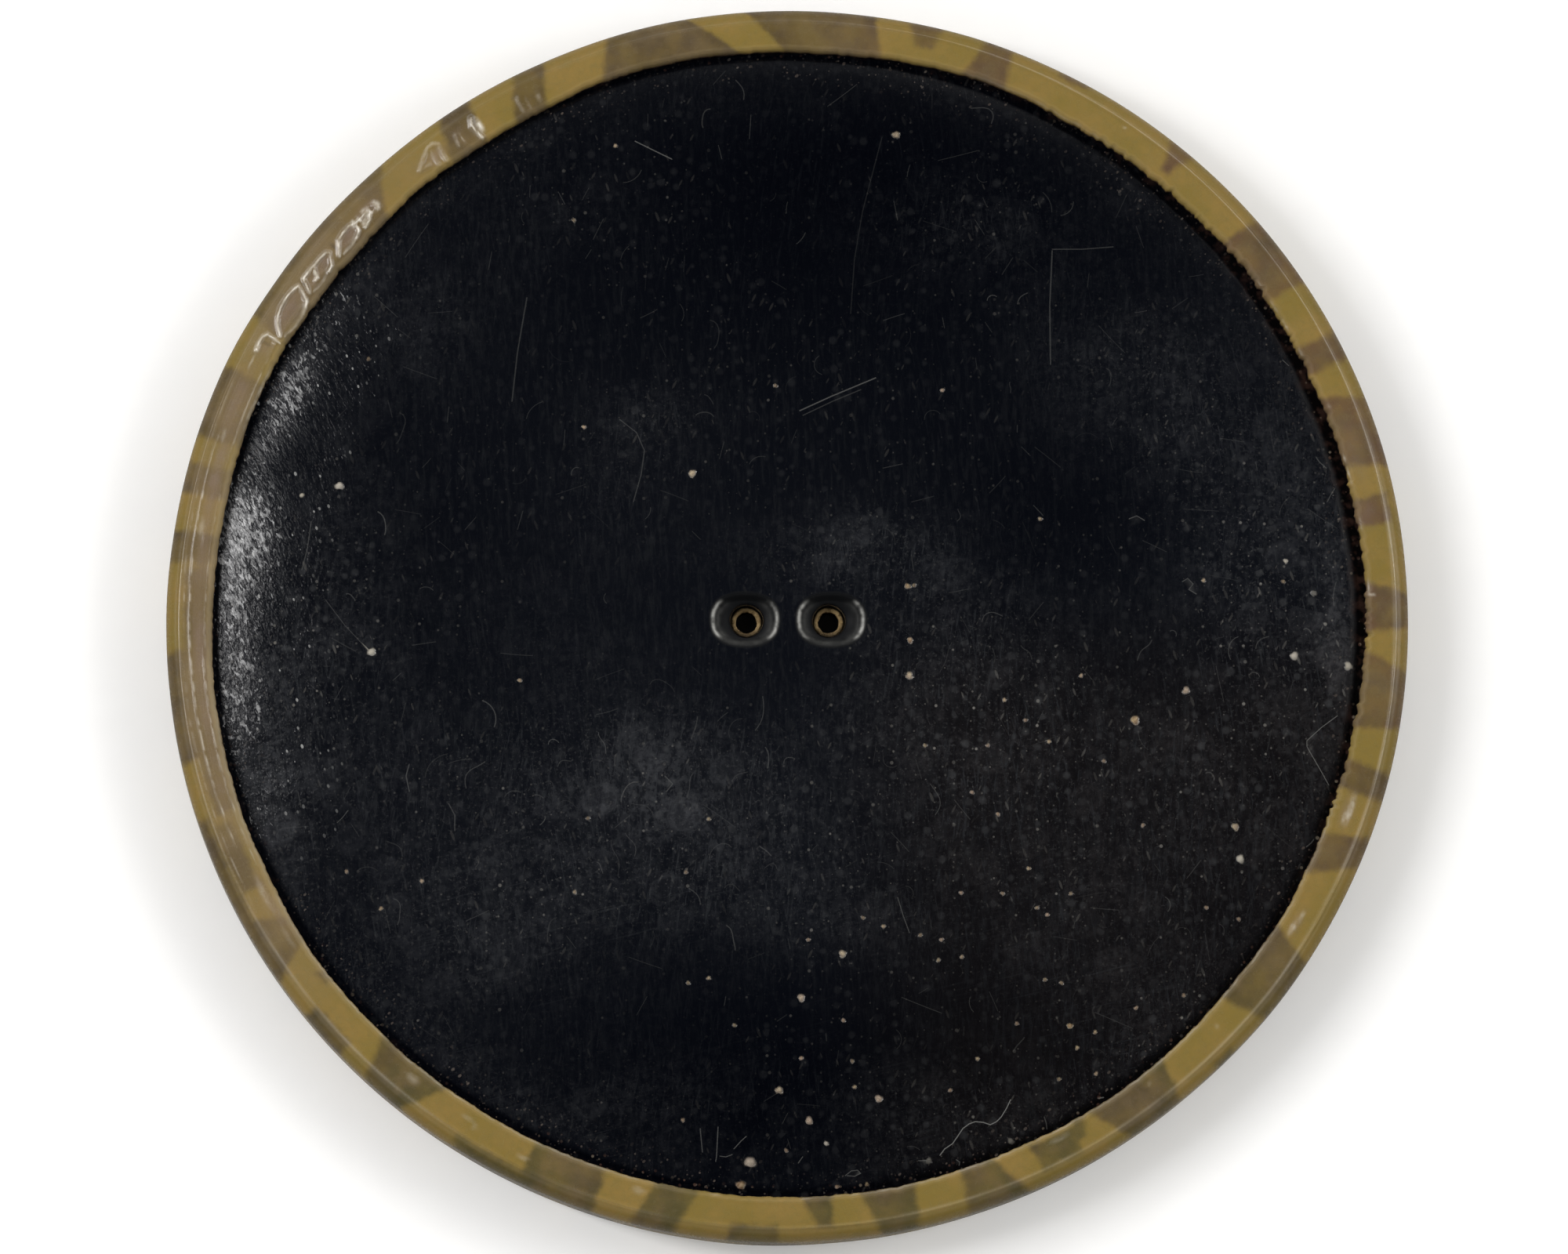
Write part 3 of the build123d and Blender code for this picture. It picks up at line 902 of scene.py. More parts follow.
# painted glints of light on the lip: degrees, radius, half length, half width, strength
PAINTED_LIP_GLINTS = [
    (341.9, 30.33, 0.62, 0.11, 0.62), (341, 30.2, 0.3, 0.08, 0.4), (329, 30.2, 0.34, 0.12, 0.5),
    (330.5, 30.3, 0.3, 0.1, 0.28), (3.2, 29.8, 0.05, 0.2, 0.55), (4, 29.66, 0.38, 0.05, 0.45),
    (22.3, 29.78, 0.1, 0.09, 0.6), (56.3, 30.72, 0.07, 0.07, 0.45), (231, 30.2, 0.34, 0.22, 0.2),
    (237.6, 30.22, 0.26, 0.12, 0.32), (238.6, 30.4, 0.12, 0.16, 0.26),
    (244, 30.58, 0.3, 0.1, 0.26), (255.6, 30.12, 0.3, 0.2, 0.2), (259.3, 30.65, 0.06, 0.1, 0.42),
    (207.8, 30.15, 0.85, 0.16, 0.2), (212.5, 30.15, 0.6, 0.14, 0.14),
    (121.8, 30.32, 0.13, 0.26, 0.85), (123.9, 30.24, 0.06, 0.2, 0.3),
    (134.5, 30.28, 0.14, 0.14, 0.75), (135.7, 30.34, 0.22, 0.1, 0.62),
    (136.6, 30.22, 0.2, 0.1, 0.6), (137.4, 30.42, 0.12, 0.07, 0.55),
    (116.6, 30.1, 0.04, 0.26, 0.28), (115.4, 30.12, 0.04, 0.22, 0.2),
    (297.8, 29.98, 0.5, 0.13, 0.17), (308.1, 30.1, 0.1, 0.18, 0.16),
    (316.8, 30.22, 0.1, 0.16, 0.22), (10.3, 29.62, 0.26, 0.05, 0.4),
    (15.2, 29.6, 0.4, 0.05, 0.52), (17.1, 29.6, 0.22, 0.05, 0.48), (31.5, 29.6, 0.36, 0.05, 0.42),
    (33.6, 29.6, 0.3, 0.05, 0.42), (36.2, 29.62, 0.28, 0.05, 0.36), (28.3, 29.6, 0.2, 0.05, 0.34),
    (263, 29.6, 0.26, 0.05, 0.34), (272, 29.6, 0.3, 0.05, 0.3), (161.8, 30.42, 0.3, 0.09, 0.35),
    (171, 30.4, 0.5, 0.12, 0.22), (154, 30.53, 0.42, 0.05, 0.34), (157.2, 29.55, 1.45, 0.07, 0.5),
    (159.2, 29.6, 0.6, 0.05, 0.3), (66.4, 30.7, 0.05, 0.05, 0.3), (78, 31.3, 0.06, 0.05, 0.28),
    (94, 30.4, 0.05, 0.05, 0.22),
]
# painted shade in the slots between the folds, with the same columns
PAINTED_SLOT_SHADE = [
    (140.35, 30.18, 0.10, 0.26, 0.75), (145.05, 30.18, 0.09, 0.28, 0.65),
    (137.3, 30.02, 0.16, 0.07, 0.5), (151.9, 30.2, 0.09, 0.3, 0.45),
    (148, 29.98, 0.75, 0.22, 0.22), (142.2, 29.95, 0.35, 0.16, 0.25),
    (139, 29.95, 0.4, 0.16, 0.3), (135.1, 30.1, 0.07, 0.12, 0.5),
    (123.1, 30, 0.22, 0.3, 0.3), (125.7, 29.9, 0.1, 0.25, 0.25),
]
# pinkish areas of the lip, with the same columns
PINKS = [
    (147.9, 30.10, 1.15, 0.36, 0.9), (142.2, 30.05, 0.60, 0.28, 0.9),
    (144.4, 30.02, 0.36, 0.26, 0.8), (138.7, 30, 0.7, 0.26, 0.9), (136, 30.2, 0.7, 0.3, 0.7),
    (127.4, 29.95, 0.85, 0.42, 0.75), (123.6, 30.1, 0.5, 0.4, 0.35), (152.5, 30.25, 0.6, 0.3, 0.4),
    (158, 30.35, 1.8, 0.34, 0.55), (165.5, 30.15, 2.4, 0.3, 0.8), (172.5, 30.1, 2.2, 0.3, 0.55),
    (182, 30.1, 2.6, 0.3, 0.75), (190.5, 30.1, 2.4, 0.28, 0.45), (198.5, 30.2, 1.8, 0.26, 0.35),
    (208.5, 30.08, 1.5, 0.22, 0.6), (341.9, 30.2, 0.9, 0.34, 0.55), (329.5, 30.2, 0.7, 0.26, 0.4),
    (11.2, 30.1, 0.7, 0.5, 0.35), (17, 30.3, 1.5, 0.45, 0.3), (3.5, 29.8, 0.4, 0.25, 0.3),
]


def patch_field(deg, u):
    """Signed distance in mm to the nearest brown patch edge, positive inside."""
    best = np.full(np.shape(deg), -3.0)
    mm_per_deg = DEG * 30.6
    across = clip(u, 0, 1)
    for low0, high0, low1, high1, u0, u1, strength in PATCHES:
        low = low0 + (low1 - low0) * across
        high = high0 + (high1 - high0) * across
        off = turn_from(deg, 0.5 * (low + high))
        d = (0.5 * (high - low) - np.abs(off)) * mm_per_deg
        d = minimum(minimum(d, (u - u0) * 2.3), (u1 - u) * 2.3)
        best = maximum(best, where(d > 0, d * strength, d))
    return clip(best, -1.5, 1.5)


def drawn_lines(theta, r, widen):
    deg = np.degrees(theta) % 360
    out = np.zeros(np.shape(theta))
    wander = 0.05 * ring_noise(theta, 30, 5, 34)
    for start, end, fade, r0, r1, width, amount in DRAWN_LINES:
        t = clip((deg - start) / (end - start), 0, 1)
        on = span(deg, start - fade * 0.3, start + fade, end - fade, end + fade * 0.3)
        d = np.abs(r - (r0 + (r1 - r0) * t) - wander * (1 - 0.5 * (r0 < 30)))
        out = maximum(out, amount * on * exp(-(d / (width * widen)) ** 2))
    return out


def ring_table(table, deg):
    """Reads a closed table of (degrees, value), eased between its stations."""
    stations = np.array([row[0] for row in table] + [table[0][0] + 360.0])
    values = np.array([row[1] for row in table] + [table[0][1]])
    d = np.asarray(deg) % 360
    k = clip(np.searchsorted(stations, d, side="right") - 1, 0, len(stations) - 2)
    t = (d - stations[k]) / (stations[k + 1] - stations[k])
    t = t * t * (3 - 2 * t)
    return values[k] * (1 - t) + values[k + 1] * t


def skewed(deg):
    """The angle that the colour tables are read at."""
    return deg + (0.22 + 0.22 * cos(np.radians(deg)))


def lip_spot(deg, r, spot, power):
    """A flat-topped oval of the lip, from a row of PAINTED_LIP_GLINTS, PAINTED_SLOT_SHADE or PINKS."""
    centre, radius, half_length, half_width, strength = spot
    along = turn_from(deg, centre) * DEG * radius
    q = np.abs(along / half_length) ** power + np.abs((r - radius) / half_width) ** power
    return strength * exp(-q)


def lip_relief(theta, r):
    """Height added to the lip's smooth profile, in mm; theta in radians."""
    deg = np.degrees(theta) % 360
    h = 0.020 * ring_noise(theta, 30, 4.5, 31) + 0.010 * ring_noise(theta, 30, 1.3, 32)
    h = h * smooth(31.1, 30.7, r)
    # the bead along the crease, stronger on the two sides
    bead = 0.028 + 0.014 * np.abs(cos(theta)) + 0.012 * ring_noise(theta, 31, 2.2, 33)
    h = h + bead * exp(-((r - (CREASE_R + 0.01)) / 0.075) ** 2)
    h = h + 0.024 * drawn_lines(theta, r, widen=1.2)
    for centre, radius, height, width, length in LIP_DENTS:
        along = turn_from(deg, centre) * DEG * 30.2
        h = h + height * blob(along, r, 0, radius, length, width)
    return h


def fold_along(deg):
    return (deg - FOLD_DEG) * DEG * FOLD_R


def fold_zone(theta, r):
    """The mask of the folded stretch, with its degrees, length along and radius."""
    deg = np.degrees(theta) % 360
    zone = (deg > 114) & (deg < 157)
    return zone, deg[zone], fold_along(deg[zone]), r[zone]


def fold_height(theta, r):
    zone, deg, along, rad = fold_zone(theta, r)
    ridge = np.zeros(len(along))
    for height, width, line in FOLDS:
        d = line_distance(along, rad, [(fold_along(a), b) for a, b in line])
        ridge = maximum(ridge, height * exp(-(d / width) ** 2) + 0.012 * exp(-(d / 0.2) ** 2))
    cell = np.zeros(len(along))
    for centre, radius, half_length, half_width, depth in CELLS:
        e = ((along - fold_along(centre)) / half_length) ** 2
        e = e + ((rad - radius) / half_width) ** 2
        cell = cell + depth * exp(-e * e)
    # a crumpled spot
    rough = span(deg, 133.5, 135, 137, 138.5) * span(rad, 29.6, 29.75, 30.2, 30.45)
    h = np.zeros(np.shape(theta))
    h[zone] = ridge - cell + 0.045 * rough * noise(along / 0.22, rad / 0.22, 61, 2)
    return h


def fold_painted_light(theta, r):
    """Painted light of the folds: above 0 as painted highlights on the crests, below 0 as painted
    shade in their feet.
    """
    zone, deg, along, rad = fold_zone(theta, r)
    light = np.zeros(len(along))
    dark = np.zeros(len(along))
    uneven = clip(1.0 + 0.9 * noise(along / 0.5, rad / 0.5, 64, 2), 0.7, 1.5)
    for height, _, line in FOLDS:
        faint = 124.8 < line[0][0] < 130.0 or line[0][0] < 118
        d = line_distance(along, rad, [(fold_along(a), b) for a, b in line])
        painted_lip_shading = exp(-(d / ((0.080 if faint else 0.062) * uneven)) ** 2)
        light = maximum(light, (0.34 if faint else 1.0) * min(1.0, height / 0.07) * painted_lip_shading)
        # the foot lies a little inwards of the ridge
        d = line_distance(along, rad, [(fold_along(a) - 0.07, b - 0.085) for a, b in line])
        foot = exp(-(d / 0.07) ** 2)
        dark = maximum(dark, (0.30 if faint else 1.0) * min(1.0, height / 0.09) * foot)
    light = light - 0.7 * dark * (1 - light)
    # a smear of painted glints on the crumpled spot
    painted_glint_smear = span(deg, 134.2, 135.4, 137.2, 138.4) * span(rad, 29.85, 29.95, 30.25, 30.5)
    painted_glint_smear = painted_glint_smear * clip(0.42 + 1.5 * noise(along / 0.16, rad / 0.16, 62, 2), 0, 1)
    shade = np.zeros(np.shape(theta))
    shade[zone] = maximum(light, 0.85 * painted_glint_smear)
    return shade


# zones of the shell's profile, in order from the lip's underside to the back
UNDER, CUT, TOP, CORNER, WALL, BEND = range(6)


def shell_profile():
    """Stations of the outside of the shell: radius, z, zone."""
    rows = [(r, LIP_UNDER_Z, UNDER) for r in (CAVITY_R, 30.2, LIP_R + 0.12)]
    for inset, z in (
        (0.02, 3.235), (0, 3.30), (0.005, 3.42), (0.014, 3.56), (0.030, 3.67),
        (0.055, 3.755), (0.09, 3.82), (0.135, 3.862), (0.19, 3.888),
    ):
        rows.append((LIP_R + inset, z, CUT))
    slope = (CREASE_Z - LIP_TOP_Z) / (CREASE_R - LIP_TOP_R)
    for r in np.concatenate([
        np.linspace(LIP_R + 0.25, 30.7, 24),
        np.linspace(30.78, CREASE_R - 0.10, 4),
        [CREASE_R - 0.06, CREASE_R - 0.03, CREASE_R],
    ]):
        z = LIP_TOP_Z - 0.012 + slope * (r - LIP_TOP_R) + 0.012 * smooth(29.9, 30.4, r)
        rows.append((r, z, TOP))
    for a in (71.5, 68, 63, 57, 50, 42, 33, 23, 12, 0):
        c, s = math.cos(math.radians(a)), math.sin(math.radians(a))
        rows.append((OUTER_R - CORNER_R + CORNER_R * c, CORNER_Z + CORNER_R * s, CORNER))
    rows += [(OUTER_R, z, WALL) for z in (2.6, 2.2, 1.75, BACK_BEND_R)]
    for a in (12, 27, 42, 57, 72, 84, 90):
        c, s = math.cos(math.radians(a)), math.sin(math.radians(a))
        rows.append((OUTER_R - BACK_BEND_R + BACK_BEND_R * c, BACK_BEND_R - BACK_BEND_R * s, BEND))
    return rows


def shell_columns():
    """Degrees of the columns, closer together where the lip is folded or ragged."""
    deg = []
    a = 0.0
    while a < 360.0 - 0.05:
        deg.append(a)
        if 116.0 < a < 154.0:
            a += 0.135
        elif a < 64.0 or a > 330.0:
            a += 0.23
        else:
            a += 0.25 if 154.0 < a < 207.0 else 0.36
    return np.array(deg)


def cut_edge(theta, deg):
    """How far the lip's cut edge stands out from LIP_R."""
    ragged = 0.35 + 0.65 * maximum(smooth(332, 342, deg), smooth(66, 52, deg))
    fine = 0.060 * ring_noise(theta, 29.5, 0.62, 42) + 0.125 * ring_noise(theta, 29.5, 0.21, 43, 2)
    edge = 0.035 * ring_noise(theta, 29.5, 1.6, 41) + ragged * fine
    edge = edge + ring_table(EDGE_TABLE, deg)
    for centre, width, depth in NICKS:
        edge = edge + 0.6 * depth * exp(-(turn_from(deg, centre) / width) ** 2)
    return edge


def shell_ring(r, z, zone, theta, edge, out):
    """Radii and heights round one station of the profile."""
    rr = np.full(len(theta), r)
    zz = np.full(len(theta), z)
    if zone == UNDER:
        rr = rr + edge * (1.0 if r < 29.7 else 0.0)
    if zone in (CUT, TOP):
        rr = rr + edge * smooth(30.6, 29.75, r)
    if zone == TOP:
        rr = rr + out * smooth(29.9, 31.05, r)
    if zone == TOP or (zone == CUT and z > 3.45):
        share = 1.0 if zone == TOP else (z - 3.45) / 0.47
        zz = zz + share * (lip_relief(theta, rr) + fold_height(theta, rr))
    if zone == CORNER:
        zz = zz + lip_relief(theta, rr) * smooth(31.4, 31.1, r)
    if zone in (CORNER, WALL):
        rr = rr + out + 0.010 * ring_noise(theta, 31, 6, 51) - 0.010
        rr = minimum(rr, OUTER_R + maximum(out, 0))
    if zone == BEND:
        rr = rr + out * smooth(30.45, 31.2, r)
    if zone == CUT:
        # the cut is slightly uneven
        rr = rr + 0.012 * ring_noise(theta, 29.5, 0.3, 45 + int(z * 10) % 5, 2)
    return rr, zz


def add_sheet(b, ring_ids, ring_r, theta, z, step, extra_rings):
    """One flat side of the sheet inside a ring; returns triangles and hole rings."""
    plan = Plan()
    ring = plan.add(circle(ring_r, theta), loop=True)
    holes = [
        plan.add(circle(BACK_HOLE_R, around(60), side * HOLE_X), loop=True) for side in (-1, 1)
    ]
    for radius, count in extra_rings:
        plan.add(circle(radius, around(count)))
    plan.add(open_grid(ring_r - 2.2, step, 5, 3.8, 1.8))
    xy, tri, index_of = plan.triangulate(bore=BACK_HOLE_R)
    ids = b.add_flat(xy, z, index_of[ring], ring_ids)
    return ids[tri], [ids[index_of[hole]] for hole in holes]


def brighten(field, value, threshold):
    return where(value > threshold, maximum(field, value), field)


def lip_painted_light(theta, deg, r, z, from_edge):
    """Painted highlights (above 0) and painted shade (below 0) on the lip."""
    # painted highlights on the fold crests and painted shade in their feet
    tone = where(z > 3.6, fold_painted_light(theta, r), 0.0)
    tone = tone * clip(0.80 + 0.7 * noise(theta * 140, r * 4.5, 83, 2), 0.28, 1)
    # painted glints along the drawn lines, broken into dashes
    broken = clip(
        0.26 + 1.5 * ring_noise(theta, 30, 0.42, 35) + 1.1 * ring_noise(theta, 30, 2.4, 36),
        0.0, 0.8,
    )
    drawn = where(z > 3.6, 0.62 * drawn_lines(theta, r, widen=0.62) * broken, 0.0)
    tone = brighten(tone, drawn, 0.02)
    # radius with the ring's unevenness taken out
    true_r = r - ring_table(EDGE_TABLE, deg) * smooth(30.6, 29.75, r)
    true_r = true_r - ring_table(OUT_TABLE, deg) * smooth(29.9, 31.05, r)
    # a painted highlight along the crease: a thin light line, most of all on the right
    crease = 0.04 + 0.105 * clip(smooth(272, 290, deg) + smooth(34, 14, deg), 0, 1)
    crease = crease + 0.10 * span(deg, 206, 214, 232, 240)
    off = true_r - 31.05 + 0.07 * exp(-(((deg - 331) / 4.5) ** 2))
    off = off + 0.06 * exp(-((turn_from(deg, 0) / 6) ** 2)) - 0.03 * ring_noise(theta, 30, 6, 90)
    crease = crease * exp(-(off / 0.085) ** 2) * (z > 3.4)
    crease = crease * clip(0.8 + 0.7 * ring_noise(theta, 30, 1.7, 91), 0.25, 1.2)
    tone = brighten(tone, crease, 0.01)
    rag = clip(0.75 + 0.8 * noise(60 + theta * 160, r * 7, 93, 2), 0.1, 1.15)
    # painted glints
    for glint in PAINTED_LIP_GLINTS:
        value = where(z > 3.42, lip_spot(skewed(deg), true_r, glint, 2.4) * rag, 0)
        tone = brighten(tone, value, 0.02)
    # painted shade in the slots between the folds
    for slot in PAINTED_SLOT_SHADE:
        value = lip_spot(deg, r, slot, 2.4) * (z > 3.5)
        tone = where((value > 0.02) & (tone < 0.25), minimum(tone, -value), tone)
    # a painted highlight: a hair of bare edge catching the light round the -Y half
    arc = span(deg, 176, 196, 250, 262) + span(deg, 268, 282, 336, 346)
    arc = arc + 0.4 * span(deg, 50, 60, 66, 78)
    thin = exp(-((from_edge - 0.10) / 0.055) ** 2) * (z > 3.6)
    bare = clip(0.7 + 0.7 * ring_noise(theta, 30, 0.5, 88), 0.15, 1)
    return brighten(tone, 0.36 * clip(arc, 0, 1) * thin * bare, 0.01)


def shell_attributes(points, profile, mottle, wall_share, lip_coords):
    """The last three are given for the profile's rings only, which come first."""
    outside = len(mottle)
    mottles = np.full(len(points), -0.5)
    mottles[:outside] = mottle
    wall_shares = np.ones(len(points))
    wall_shares[:outside] = wall_share
    coords = np.zeros((len(points), 3))
    coords[:, 2] = 6.0
    coords[:outside] = lip_coords
    from_edge = np.full(len(points), 9.0)
    from_edge[:outside] = np.repeat([row[0] - LIP_R for row in profile], outside // len(profile))
    x, y, z = points.T
    theta = np.arctan2(y, x)
    deg = np.degrees(theta) % 360
    r = hypot(x, y)
    # a painted sheen washes the lip pale on the left, where it is also scuffed
    rub_and_painted_sheen = span(deg, 118, 145, 205, 226) * smooth(31.35, 30.95, r) * (z > 3.1)
    rub_and_painted_sheen = rub_and_painted_sheen * (0.72 + 0.6 * ring_noise(theta, 30, 2.6, 81))
    rub_and_painted_sheen = rub_and_painted_sheen * (1 - 0.65 * smooth(29.85, 29.6, r) * smooth(168, 158, deg))
    pink = np.zeros(len(points))
    for spot in PINKS:
        pink = maximum(pink, lip_spot(skewed(deg), r, spot, 2.6) * (z > 3.5))
    return {
        "pink": pink,
        "mottle": mottles,
        "proc": wall_shares,
        "lipco": coords,
        "rub_and_painted_sheen": rub_and_painted_sheen,
        "painted_lip_shading": lip_painted_light(theta, deg, r, z, from_edge),
    }


def build_shell(material):
    b = Build()
    deg = shell_columns()
    theta = np.radians(deg)
    edge = cut_edge(theta, deg)
    out = ring_table(OUT_TABLE, deg)
    profile = shell_profile()
    rings, mottle, wall_share, lip_coords = [], [], [], []
    length = 0.0
    last_r, last_z = profile[0][:2]
    for r, z, zone in profile:
        rr, zz = shell_ring(r, z, zone, theta, edge, out)
        rings.append(b.add(lift(circle(rr, theta), zz)))
        length += math.hypot(r - last_r, z - last_z)
        last_r, last_z = r, z
        if zone <= CORNER:
            u = (rr - LIP_R) / LIP_SPAN
        else:
            u = 1.0 + (CORNER_Z - zz) / LIP_SPAN
        mottle.append(patch_field(skewed(deg), u))
        share = float(smooth(2.75, 1.7, z)) if zone >= CORNER else 0.0
        wall_share.append(np.full(len(deg), share))
        lip_coords.append(
            np.stack([deg * DEG * 30.5, np.full(len(deg), length), np.full(len(deg), zone)], 1)
        )
    b.add_faces(bands(rings, flip=True))

    # cavity wall and its rounded foot
    cavity = [rings[0]]
    for r, z in (
        (CAVITY_R, 2.2), (CAVITY_R, BACK_BEND_R), (CAVITY_R - 0.10, 0.98),
        (CAVITY_R - 0.30, 0.78), (FLOOR_R, SHEET_T),
    ):
        cavity.append(b.add(lift(circle(r, theta), z)))
    b.add_faces(bands(cavity))

    # the two flat sides of the sheet, then the holes through it
    back_r = OUTER_R - BACK_BEND_R
    back, back_holes = add_sheet(
        b, rings[-1], back_r, theta, z=0.0, step=1.6,
        extra_rings=((back_r - 0.5, 360), (back_r - 1.3, 180)),
    )
    floor, floor_holes = add_sheet(
        b, cavity[-1], FLOOR_R, theta, z=SHEET_T, step=3.0, extra_rings=((CAVITY_R - 1.4, 240),)
    )
    walls = []
    for side, back_hole, floor_hole in zip((-1, 1), back_holes, floor_holes):
        hole = [back_hole]
        for radius, z in ((0.812, 0.03), (HOLE_R, 0.10), (HOLE_R, 0.60)):
            hole.append(b.add(lift(circle(radius, around(60), side * HOLE_X), z)))
        walls.append(bands(hole + [floor_hole], flip=True))
    b.add_faces(back[:, ::-1], (0.0, 0.0, -1.0))
    b.add_faces(floor, (0.0, 0.0, 1.0))
    b.add_faces(np.concatenate(walls))
    attributes = shell_attributes(
        b.points(), profile, np.concatenate(mottle), np.concatenate(wall_share),
        np.concatenate(lip_coords),
    )
    return b.make("mottled_sheet_shell", attributes, material)


# ================================================================ fibre core
# the torn collar that stands up inside each hole: z, radius
COLLAR = [(2.696, 0.790), (3.05, 0.788), (3.22, 0.780), (3.30, 0.750), (3.33, 0.690),
          (3.32, 0.610), (3.25, 0.545)]
# the bore below it: z, growth of the radius
BORE = [(3.0, -0.08), (2.7, -0.06), (2.5, 0), (2.3, 0), (2.0, 0), (1.6, 0), (1.2, 0), (0.9, 0),
        (0.704, 0.02)]


def bore_radius(side, z, angles):
    """Ragged radius of the hole in the fibre."""
    c, s = cos(angles), sin(angles)
    base = 0.615 + 0.06 * smooth(2.2, 0.9, z) + 0.01 * smooth(2.45, 2.70, z)
    shift = 3.0 if side < 0 else 9.0
    rag = 0.05 * noise(shift + 2.2 * c, shift + 2.2 * s + z * 1.5, 71, 2)
    fibres = 0.035 * noise(shift + 6.0 * c, 6.0 * s + z * 5.0, 73, 2)
    return clip(base + rag + fibres, 0.55, 0.78)


def core_hole(b, side, angles):
    """Rings from the foot of the collar, over its top and down the bore."""
    c, s = cos(angles), sin(angles)
    rings = []
    for z, radius in COLLAR:
        rag = 0.035 * noise(20 + 3.2 * c, 20 + 3.2 * s + side * 5, 77, 2)
        rise = 0.0 if z < 3.0 else 0.07 * (z - 2.7) / 0.6
        zz = z + rise * 2.0 * noise(30 + 2.4 * c, 30 + 2.4 * s + side * 3, 78, 2)
        rr = minimum(radius + (rag if radius < 0.76 else 0.0), 0.79)
        rings.append(b.add(lift(circle(rr, angles, side * HOLE_X), zz)))
    for z, grow in BORE:
        rr = minimum(bore_radius(side, z, angles) + grow, 0.795)
        wave = 0.018 * noise(4 * c, 4 * s + side, 75, 2) if z == 2.5 else 0.0
        rings.append(b.add(lift(circle(rr, angles, side * HOLE_X), z + wave)))
    return rings


def core_flat(b, outer_ids, hole_ids, z):
    """Triangles of a flat side between its rim and two ragged holes."""
    points = b.points()[:, :2]
    plan = Plan()
    for ids in [outer_ids] + hole_ids:
        plan.add(points[ids], loop=True)
    plan.add(open_grid(28.5, 3.2, 6, 4, 2.2))
    xy, tri, index_of = plan.triangulate()
    centre = xy[tri].mean(axis=1)
    keep = np.ones(len(tri), bool)
    for side, ids in zip((-1, 1), hole_ids):
        # left of its own edge of the ragged outline means inside the hole
        ring = points[ids]
        turn = np.arctan2(centre[:, 1], centre[:, 0] - side * HOLE_X) % TAU
        k = np.floor(turn / TAU * len(ids)).astype(int) % len(ids)
        p, q = ring[k], ring[(k + 1) % len(ids)]
        left = (q[:, 0] - p[:, 0]) * (centre[:, 1] - p[:, 1])
        keep &= left - (q[:, 1] - p[:, 1]) * (centre[:, 0] - p[:, 0]) <= 0
    known = np.concatenate([outer_ids] + hole_ids)
    return b.add_flat(xy, z, index_of[: len(known)], known)[tri[keep]]


def build_core(material):
    b = Build()
    holes = [core_hole(b, side, around(96)) for side in (-1, 1)]
    wall = []
    for r, z in (
        (DISC_R, FACE_BOTTOM_Z - CORE_GAP), (DISC_R, BACK_BEND_R), (DISC_R - 0.05, 1.07),
        (DISC_R - 0.18, 0.88), (DISC_R - 0.37, 0.76), (DISC_R - 0.6, SHEET_T + CORE_GAP),
    ):
        wall.append(b.add(lift(circle(r, around(240)), z)))
    top = core_flat(b, wall[0], [rings[0] for rings in holes], FACE_BOTTOM_Z - CORE_GAP)
    bottom = core_flat(b, wall[-1], [rings[-1] for rings in holes], SHEET_T + CORE_GAP)
    b.add_faces(top)
    b.add_faces(bottom[:, ::-1])
    b.add_faces(bands(wall, flip=True))
    b.add_faces(np.concatenate([bands(rings) for rings in holes]))
    return b.make("fibre_core_disc", {}, material)


# ================================================================ shader graphs
class Signal:
    """A node's output. Arithmetic on it adds Math nodes."""

    def __init__(self, graph, socket):
        self.graph = graph
        self.socket = socket

    def __add__(self, other):
        return self.graph.math("ADD", self, other)

    def __sub__(self, other):
        return self.graph.math("SUBTRACT", self, other)

    def __rsub__(self, other):
        return self.graph.math("SUBTRACT", other, self)

    def __mul__(self, other):
        return self.graph.math("MULTIPLY", self, other)

    def __truediv__(self, other):
        return self.graph.math("DIVIDE", self, other)

    def clamped(self):
        """Clamps the last operation to 0..1."""
        self.socket.node.use_clamp = True
        return self


